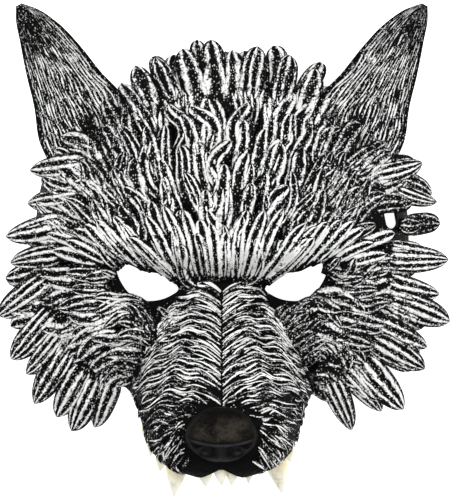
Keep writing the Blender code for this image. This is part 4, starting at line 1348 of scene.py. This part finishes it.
class MASK_OT_cheek_fur(bpy.types.Operator):
    """Build the shingled tufts that lie outwards over the temples and the cheeks"""

    bl_idname = "mask.cheek_fur"
    bl_label = "Cheek fur"

    def execute(self, context):
        settings = context.scene.mask_fur
        material = dry_brushed("brushed_fur_cheek", settings, ridge_share=0.85, edge=0.77)

        def tone_of(x, y):
            # Painted shade beside the muzzle's wall; the right cheek is a little darker
            inner = smooth_step(0.055, 0.035, np.abs(x))
            return CHEEK_TONE - CHEEK_INNER_SHADE * inner - CHEEK_RIGHT_DARKER * (x > 0)

        for name, side, past, extra in CHEEK_SIDES:
            rng = np.random.default_rng(settings.seed + extra)

            def place(angle, reach):
                most = 1.15 - 0.17 * smooth_step(past, past + 14, angle)
                x, y = rim_points(angle, np.minimum(reach, most))
                return side * x, y

            tips = row_tips(CHEEK_ROWS, rng, CHEEK_REACH_SPREAD, [2, 3, 3], place)
            swept = laid_tufts(tips, settings.seed + 10 + extra, settings, CHEEK_TIPS, tone_of)
            lay_fur(name, swept, material, "mask_shell")
        return {"FINISHED"}


def flank_rows(rng):
    """Hairs down the steep flanks: starts, sides, distances off and along.

    Their places go by the way round a section's arch, a table of the share of the half
    width against the arc's length, because the flanks are near upright.
    """
    across = np.linspace(0, 1, 400)
    height = 1.5 * (1 - across ** ARCH_FLATNESS) ** ARCH_FALL
    arc = np.concatenate([[0], np.cumsum(np.hypot(np.diff(across), np.diff(height)))])
    base, way, side = (part.ravel() for part in np.meshgrid(
        np.arange(*FLANK_ROWS), np.arange(*FLANK_WAYS), (-1.0, 1.0)))
    count = len(base)
    base = base + rng.normal(0, FLANK_ROW_SPREAD, count)
    way = way + rng.normal(0, FLANK_WAY_SPREAD, count)
    reach = rng.uniform(*FLANK_REACH, count)
    s = np.linspace(0, 1, HAIR_STEPS)
    round_arch = np.minimum(way[:, None] + reach[:, None] * s, 0.995)
    y = base[:, None] - rng.uniform(*FLANK_DROP, count)[:, None] * s
    y = y + rng.normal(0, 0.0003, count)[:, None] * np.sin(2 * math.pi * s)
    off = muzzle_half(y) * np.interp(round_arch, arc / arc[-1], across)
    return off[:, 0], side, off, y


def crest_rows(rng):
    """Hairs over the muzzle's top: starts, sides, distances off and along.

    With a = distance off / the crest's own distance, a row runs along its base +
    HAIR_CREST * (2a - a^2).  Beside the nose the hairs turn down, and away from the
    parting all of them share slow sine waves.
    """
    starts, bases, spans, sides = [], [], [], []
    for base in np.arange(HAIR_FIRST_Y, HAIR_LAST_Y, -HAIR_SPACING):
        near_nose = smooth_step(-0.060, -0.070, base)
        for side in (-1.0, 1.0):
            out = PARTING_GAP + PARTING_SPREAD * rng.random() + NOSE_GAP * near_nose
            while out < HAIR_OUTMOST:
                span = rng.uniform(*HAIR_SPAN) * (1 - 0.55 * near_nose)
                starts.append(out)
                bases.append(base + rng.normal(0, 0.0005))
                spans.append(span)
                sides.append(side)
                out += span * rng.uniform(0.55, 0.90)
    start, base, span, side = (np.array(row) for row in (starts, bases, spans, sides))
    s = np.linspace(0, 1, HAIR_STEPS)
    off = start[:, None] + span[:, None] * s
    crest = np.interp(base, CREST_PLACES, CREST_DISTANCES)[:, None]
    arch = off / crest
    climb = np.clip(2 * arch - arch ** 2, -1.6, 1.0)
    y = base[:, None] + HAIR_CREST * climb + rng.normal(0, 0.0009, len(start))[:, None] * s
    y = y + rng.normal(0, 0.0006, len(start))[:, None] * np.sin(math.pi * s)
    beside = smooth_step(-0.068, -0.078, base)[:, None] * smooth_step(0.040, 0.026, off)
    y = y - HAIR_DROOP * beside * s
    waves = np.sin(HAIR_WAVES_OUT * off + HAIR_WAVES_DOWN * base[:, None] + side[:, None])
    y = y + HAIR_WAVE * smooth_step(0.008, 0.020, off) * waves
    inner = off[:, 0] < 0.80 * muzzle_half(y[:, 0])
    return start[inner], side[inner], off[inner], y[inner]


def on_muzzle(off, y):
    """Hairs that stay clear of the nose, the chin, the eyes, the lip and the edge."""
    nose = (off / (NOSE_HALF_WIDTH + NOSE_ROOM_BESIDE)) ** 2 + (
        (y - NOSE_Y) / (NOSE_HALF_HEIGHT + NOSE_ROOM_ABOVE)) ** 2
    chin = (off < CHIN_HALF_WIDTH) & (y < NOSE_Y)
    hole = ((off - EYE_INNER_X - 0.5 * EYE_WIDTH) / (
        0.5 * EYE_WIDTH + HAIR_EYE_ROOM_BESIDE)) ** 2 + (
        (y - EYE_MID_Y) / HAIR_EYE_ROOM_HALF_HEIGHT) ** 2
    lip_station = np.clip(off / MUZZLE_HALF_WIDTH, 0, 1)
    lip = -MUZZLE_DROP * curve_through(LIP_ROWS[::-1, 0], LIP_ROWS[::-1, 1], lip_station)
    farthest = np.where(y < HAIR_EDGE_FROM, muzzle_half(y) * HAIR_EDGE_SHARE, HAIR_FARTHEST)
    kept = (off < farthest) & (nose > 1) & ~chin & (hole > 1) & (y > lip + LIP_ROOM)
    return kept.all(axis=1) & (y[:, -1] < HAIR_TOP_Y)


class MASK_OT_muzzle_hair(bpy.types.Operator):
    """Build the short hairs that arch from the parting over the muzzle's flanks"""

    bl_idname = "mask.muzzle_hair"
    bl_label = "Muzzle hair"

    def execute(self, context):
        settings = context.scene.mask_fur
        rng = np.random.default_rng(settings.seed + 20)
        crest = crest_rows(rng)
        start, side, off, y = (np.concatenate(pair) for pair in zip(crest, flank_rows(rng)))
        kept = on_muzzle(off, y)
        kept &= rng.random(len(start)) > 0.05 + 0.25 * smooth_step(0.024, 0.040, start)
        x = (off * side[:, None])[kept]
        y = y[kept]
        start = start[kept]
        count = len(x)
        s = np.linspace(0, 1, HAIR_STEPS)
        up = outward_of(skin_height, x, y)
        z = skin_height(x, y) + HAIR_CLEAR
        path = np.stack([x, y, z], axis=-1) + up * (HAIR_TILT * s ** 2)[None, :, None]
        width = settings.hair_width * rng.uniform(*HAIR_WIDTHS, count)
        narrowing = np.sin(np.pi * np.clip(0.12 + 0.88 * s, 0, 1)) ** 0.6
        half = 0.5 * width[:, None] * np.maximum(narrowing, 0.06)
        swell = np.sin(np.pi * np.clip(0.10 + 0.90 * s, 0, 1))
        rise = HAIR_RISE * np.ones((count, 1)) * np.maximum(swell, 0.1)
        # Painted shade on the steep flanks: hairs that start farther out are darker
        outer = smooth_step(0.022, 0.040, start)
        tone = rng.uniform(*HAIR_TONES, count) - HAIR_OUTER_SHADE * outer
        # Painted shade on the lower flanks, stronger on the left
        darker = np.where(x[:, 0] < 0, *FLANK_SHADE)
        tone = tone - darker * smooth_step(-0.045, -0.065, y[:, 0])
        tone = tone[:, None] * np.ones((1, HAIR_STEPS))
        swept = sweep(path, up, half, rise, np.ones(count), np.zeros(count), tone,
                      HAIR_TOP_STEPS)
        material = dry_brushed("brushed_hair", settings, ridge_share=0.60, edge=0.69)
        lay_fur("muzzle_hair", swept, material)
        return {"FINISHED"}


class MASK_OT_ears(bpy.types.Operator):
    """Build the two cupped ears with their lengthwise grooves"""

    bl_idname = "mask.ears"
    bl_label = "Ears"

    def execute(self, context):
        ears = context.scene.mask_ears
        settings = context.scene.mask_fur
        material = dry_brushed("brushed_ear", settings, ridge_share=0.50, edge=0.85,
                               streak_size=(2.0, 120.0), streak=2.6, patch=0.15)

        # Across an ear the sheet rises by cup * |across|^1.7 and along it by lift *
        # along^1.5, and its grooves are |sin(pi * phase)|^0.7 with a phase that wavers
        for name, side, hollow_shade in EARS:
            rng = np.random.default_rng(settings.seed + 30 + side)
            rows, columns = 64, 97
            along = np.linspace(EAR_ROWS[0, 0], 1.0, rows)
            inner = EAR_HALF_WIDTH * curve_through(EAR_ROWS[:, 0], EAR_ROWS[:, 1], along)
            outer = EAR_HALF_WIDTH * curve_through(EAR_ROWS[:, 0], EAR_ROWS[:, 2], along)
            cup = EAR_CUP * curve_through(EAR_ROWS[:, 0], EAR_ROWS[:, 3], along)
            across = np.linspace(-1, 1, columns)
            offset = np.where(across > 0, inner[:, None], outer[:, None]) * across
            depth = cup[:, None] * np.abs(across) ** EAR_CUP_POWER
            length = along * EAR_LENGTH
            axis_x, axis_y = math.cos(EAR_TURN), math.sin(EAR_TURN)
            x = EAR_BASE_X + length[:, None] * axis_x - offset * axis_y
            y = EAR_BASE_Y + length[:, None] * axis_y + offset * axis_x
            lift = EAR_TIP_LIFT * np.clip(along, 0, 1)[:, None] ** EAR_LIFT_POWER
            z = np.maximum(EAR_BASE_Z + depth + lift, skin_height(x, y) + EAR_PROUD)
            waves = rng.uniform(0, 2 * math.pi, 4)
            phase = 0.5 * ears.grooves * (across[None, :] + 1) + 0.35 * np.sin(
                7 * along[:, None] + 3 * across + waves[0]) + 0.2 * np.sin(
                19 * along[:, None] + 8 * across + waves[1])
            ridge = np.abs(np.sin(np.pi * phase)) ** 0.7
            inside = 1 - smooth_step(0.90, 0.99, np.abs(across))
            fade = 1 - smooth_step(0.90, 1.0, along)[:, None]
            groove = ears.groove_depth * (ridge - 1) * inside * fade
            top = np.stack([side * x, y, z + groove], axis=-1)
            bottom = np.stack([side * x, y, z - EAR_WALL], axis=-1)
            uv = np.stack([phase, np.broadcast_to(length[:, None], phase.shape)], axis=-1)
            tone = EAR_TONE - EAR_EDGE_DARKER * smooth_step(0.86, 0.97, np.abs(across))
            # Painted shade in the ear's hollow towards its tip
            tone = tone - hollow_shade * smooth_step(0.50, 0.78, along)[:, None] * smooth_step(
                0.9, 0.1, across)
            # Painted shade in the deep spot at the ear's root
            tone = tone - EAR_ROOT_SHADE * (1 - smooth_step(-0.04, 0.10, along))[:, None] * (
                1 - smooth_step(0.05, 0.26, np.abs(across - 0.1)))
            tone = tone + EAR_FOLD_LIGHTER * smooth_step(0.35, 0.65, across) * (
                1 - smooth_step(0.90, 0.95, across)) * (1 - smooth_step(0.4, 0.7, along))[:, None]
            points, faces = closed_sheet(top, bottom)
            if side < 0:
                faces = faces[:, ::-1]
            uv = np.concatenate([uv.reshape(-1, 2)] * 2)
            paint = np.concatenate([tone.ravel(), EAR_BACK_TONE + 0 * tone.ravel()])
            seat(add_piece("shaped_" + name, points, faces, [material], uv, paint),
                 "painted_fur", name)
        return {"FINISHED"}


def closed_sheet(top, bottom):
    """Triangles of a solid between two grids of points, one above the other."""
    rows, size = top.shape[:2]
    count = rows * size
    upper = grid_triangles(rows, size, False)
    lower = count + upper[:, ::-1]
    border = np.concatenate([
        np.arange(size), np.arange(1, rows) * size + size - 1,
        (rows - 1) * size + np.arange(size - 2, -1, -1), np.arange(rows - 2, 0, -1) * size])
    after = np.roll(border, -1)
    wall = np.concatenate([np.stack([after, border, count + border], axis=-1),
                           np.stack([after, count + border, count + after], axis=-1)])
    points = np.concatenate([top.reshape(-1, 3), bottom.reshape(-1, 3)])
    return points, np.concatenate([upper, lower, wall])


class MASK_OT_nose(bpy.types.Operator):
    """Build the nose pad with its flat top, nostrils and septum"""

    bl_idname = "mask.nose"
    bl_label = "Nose"

    def execute(self, context):
        settings = context.scene.mask_nose
        rows, columns = 72, 128

        # A ball of |x|^p + |y|^p + |z|^p = 1, tapered to its top and foot and stretched
        polar = np.linspace(0, math.pi, rows + 2)[1:-1][:, None]
        turn = np.linspace(0, 2 * math.pi, columns, endpoint=False)
        x = np.sin(polar) * np.cos(turn)
        y = np.sin(polar) * np.sin(turn)
        z = np.cos(polar) * np.ones_like(turn)
        poles = np.array([[0.0, 0.0, 1.0], [0.0, 0.0, -1.0]])
        flat = np.concatenate([np.stack([x, y, z], axis=-1).reshape(-1, 3), poles])
        reach = np.sum(np.abs(flat) ** NOSE_SQUARENESS, axis=1, keepdims=True)
        x, y, z = (flat / reach ** (1 / NOSE_SQUARENESS)).T
        wide = 1 - NOSE_TOP_TAPER * np.clip(y, 0, 1) - NOSE_FOOT_TAPER * np.clip(-y, 0, 1) ** 2
        tall = np.where(y > 0, 1 + NOSE_TOP_STRETCH * y, 1 - NOSE_FOOT_STRETCH * y)
        front = NOSE_FRONT_GAIN * z * np.clip(-y, -0.5, 0.5)
        place_x = NOSE_HALF_WIDTH * x * wide
        place_y = NOSE_Y + NOSE_HALF_HEIGHT * y * tall
        place_z = NOSE_Z + NOSE_HALF_DEPTH * (z + front)

        # Nostrils, septum and wings are bell curves that sink or raise the front
        side = np.abs(place_x) - NOSTRIL_X
        lower = place_y - (NOSE_Y - NOSTRIL_BELOW)
        comma = lower + NOSTRIL_SLANT * side
        nostril = np.exp(-(side / NOSTRIL_WIDTH) ** 2 - (comma / NOSTRIL_HEIGHT) ** 2)
        below = smooth_step(0.0, -0.004, place_y - NOSE_Y)
        septum = np.exp(-(place_x / SEPTUM_WIDTH) ** 2) * below
        wing_side = (np.abs(place_x) - WING_X) / WING_WIDTH
        wing = np.exp(-wing_side ** 2 - ((lower + WING_BELOW) / WING_HEIGHT) ** 2)
        relief = WING_RISE * wing - settings.nostril_depth * nostril - SEPTUM_DEPTH * septum
        place_z = place_z + smooth_step(0.0, 0.3, z) * relief
        seated = skin_height(place_x, place_y) - NOSE_SINK
        place_z = np.maximum(place_z, seated)
        points = np.stack([place_x, place_y, place_z], axis=-1)
        faces = closed_tube(rows, columns)[:, ::-1]

        # Paint above 0 is a painted brownish sheen on the flat top, and below 0 it is painted
        # highlights along the front's edge, at the nostrils and down the septum
        paint = smooth_step(-0.36, -0.10, y + 0.3 * (1 - x ** 2) - 0.3) * smooth_step(
            0.92, 0.40, y) * smooth_step(0.2, 0.6, z) * smooth_step(1.0, 0.6, np.abs(x))
        # Painted highlights: a line along the front's edge, two glints at the nostrils and a stripe
        # down the septum
        front_edge_highlight = np.exp(-((y + 0.38 - 0.28 * x ** 2) / 0.05) ** 2)
        glints = np.exp(-((np.abs(x) - 0.50) / 0.10) ** 2 - ((y + 0.68) / 0.05) ** 2)
        middle = np.exp(-(x / 0.16) ** 2) * smooth_step(-0.42, -0.52, y)
        middle = middle * smooth_step(-0.95, -0.7, y)
        seen = smooth_step(0.1, 0.3, z) * smooth_step(0.95, 0.70, np.abs(x))
        sheen = NOSE_EDGE_SHEEN * front_edge_highlight + NOSE_EDGE_SHEEN * glints
        paint = paint - (sheen + NOSE_MIDDLE_SHEEN * middle) * seen
        material = nose_leather("nose_leather", settings)
        seat(add_piece("shaped_nose", points, faces, [material], None, paint),
             "nose_black", "nose_pad")
        return {"FINISHED"}


class MASK_OT_teeth(bpy.types.Operator):
    """Build the canines, the incisors and the side teeth under the lip"""

    bl_idname = "mask.teeth"
    bl_label = "Teeth"

    def execute(self, context):
        settings = context.scene.mask_teeth
        material = tooth_ivory("tooth_ivory", settings)
        for name, length, width, way, size, lean in TEETH:
            length, width = length * size, width * size
            edge_x, edge_y = lip_points(np.array([way]))
            place = np.array([edge_x[0], edge_y[0], float(skin_height(edge_x, edge_y)[0])])
            inward = np.array([-place[0], -MOUTH_MIDDLE - place[1], 0.0])
            inward /= np.linalg.norm(inward)
            behind = SIDE_TOOTH_BEHIND if name.startswith("side") else FRONT_TOOTH_BEHIND
            seat_at = place - (0.0, 0.0, TOOTH_SET_DOWN * width) + inward * (behind * WALL)
            root = seat_at + (0.0, TOOTH_ROOT_SHARE * length, 0.0)
            tip = seat_at + (lean * length * np.sign(place[0]),
                             (TOOTH_ROOT_SHARE - 1) * length, -TOOTH_BACKWARD * length)
            middle = (root + tip) / 2 + (0.0, 0.0, TOOTH_ARCH * length)

            # The middle line is (1 - s)^2 * root + 2s(1 - s) * middle + s^2 * tip
            s = np.linspace(0, 1, TOOTH_RINGS)[:, None]
            centre = (1 - s) ** 2 * root + 2 * s * (1 - s) * middle + s ** 2 * tip
            s = s[:, 0]
            swell = 0.5 * width * curve_through(TOOTH_WAYS, TOOTH_WIDTHS, s)[:, None]
            angle = np.linspace(0, 2 * math.pi, TOOTH_CORNERS, endpoint=False)
            fade = smooth_step(1.0, 0.4, s)[:, None]
            grooves = 1 + TOOTH_GROOVE * np.cos(TOOTH_GROOVES * angle) * fade
            ring_x = swell * np.cos(angle) * grooves
            ring_z = TOOTH_DEPTH_SHARE * swell * np.sin(angle) * grooves
            points = centre[:, None] + np.stack([ring_x, 0 * ring_x, ring_z], axis=-1)
            points = np.concatenate([points.reshape(-1, 3), root[None], tip[None]])
            faces = closed_tube(TOOTH_RINGS, TOOTH_CORNERS)
            paint = np.repeat(1 - smooth_step(0.25, 0.75, s), TOOTH_CORNERS)
            paint = np.concatenate([paint, [1.0, 0.0]])
            turns = np.tile(angle / (2 * math.pi), TOOTH_RINGS)
            uv = np.stack([turns, np.repeat(s * length, TOOTH_CORNERS)], axis=-1)
            uv = np.concatenate([uv, [[0.5, 0.0], [0.5, length]]])
            seat(add_piece("shaped_" + name, points, faces, [material], uv, paint),
                 "tooth_ivory", name)
        return {"FINISHED"}


class MASK_OT_stage(bpy.types.Operator):
    """Build the pale floor, the soft light and the camera above the face"""

    bl_idname = "mask.stage"
    bl_label = "Stage"

    def execute(self, context):
        settings = context.scene.mask_stage
        scene = context.scene
        corners = FLOOR_HALF_WIDTH * np.array([(-1, -1, 0), (1, -1, 0), (1, 1, 0), (-1, 1, 0)])
        s = Shades("pale_floor")
        s.shader.inputs["Emission Color"].default_value = WHITE
        s.shader.inputs["Emission Strength"].default_value = FLOOR_GLOW
        s.finish((*settings.floor_colour, 1.0), 0.9)
        floor = add_piece("floor", corners, np.array([(0, 1, 2), (0, 2, 3)]), [s.material])

        world = bpy.data.worlds.new("studio")
        world.use_nodes = True
        background = world.node_tree.nodes["Background"]
        background.inputs["Color"].default_value = WHITE
        background.inputs["Strength"].default_value = WORLD_GLOW
        scene.world = world
        middle = Vector(FACE_MIDDLE) + Vector(FACE_SHIFT)
        for name, place, size in SOFTBOXES:
            light = bpy.data.lights.new(name, "AREA")
            light.energy = settings.light_power
            light.size = size
            lamp = bpy.data.objects.new(name, light)
            lamp.location = middle + Vector(place)
            lamp.rotation_euler = (middle - lamp.location).to_track_quat("-Z", "Y").to_euler()
            scene.collection.objects.link(lamp)

        camera = bpy.data.cameras.new("camera")
        camera.sensor_width = SENSOR_WIDTH
        camera.lens = SENSOR_WIDTH * settings.camera_height / settings.view_height
        camera.clip_end = 20.0
        eye = bpy.data.objects.new("camera", camera)
        above = Vector((CAMERA_X, CAMERA_Y, settings.camera_height))
        eye.location = above + Vector(FACE_SHIFT)
        scene.collection.objects.link(eye)
        scene.camera = eye
        scene.view_settings.view_transform = "Standard"
        return {"FINISHED"}


class MASK_PT_panel(bpy.types.Panel):
    """Sidebar list of the mask's pieces"""

    bl_idname = "MASK_PT_panel"
    bl_label = "Werewolf half mask"
    bl_space_type = "VIEW_3D"
    bl_region_type = "UI"
    bl_category = "Mask"

    def draw(self, context):
        layout = self.layout
        for group in (context.scene.mask_fur, context.scene.mask_ears, context.scene.mask_nose,
                      context.scene.mask_teeth, context.scene.mask_stage):
            column = layout.column()
            for name in group.__annotations__:
                column.prop(group, name)
        for operator in OPERATORS:
            layout.operator(operator.bl_idname)


OPERATORS = (MASK_OT_face_skin, MASK_OT_rim_tufts, MASK_OT_forehead_fur, MASK_OT_brow_fur,
             MASK_OT_cheek_fur, MASK_OT_muzzle_hair, MASK_OT_ears, MASK_OT_nose, MASK_OT_teeth,
             MASK_OT_stage)
GROUPS = (("mask_fur", MaskFurSettings), ("mask_ears", MaskEarSettings),
          ("mask_nose", MaskNoseSettings), ("mask_teeth", MaskTeethSettings),
          ("mask_stage", MaskStageSettings))


def register():
    """Register the settings, the operators and the panel."""
    for name, group in GROUPS:
        bpy.utils.register_class(group)
        setattr(bpy.types.Scene, name, PointerProperty(type=group))
    for operator in OPERATORS:
        bpy.utils.register_class(operator)
    bpy.utils.register_class(MASK_PT_panel)


def unregister():
    """Remove the panel, the operators and the settings."""
    bpy.utils.unregister_class(MASK_PT_panel)
    for operator in reversed(OPERATORS):
        bpy.utils.unregister_class(operator)
    for name, group in reversed(GROUPS):
        delattr(bpy.types.Scene, name)
        bpy.utils.unregister_class(group)


def main():
    """Register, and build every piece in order."""
    register()
    for operator in OPERATORS:
        family, name = operator.bl_idname.split(".")
        getattr(getattr(bpy.ops, family), name)()


if __name__ == "__main__":
    main()
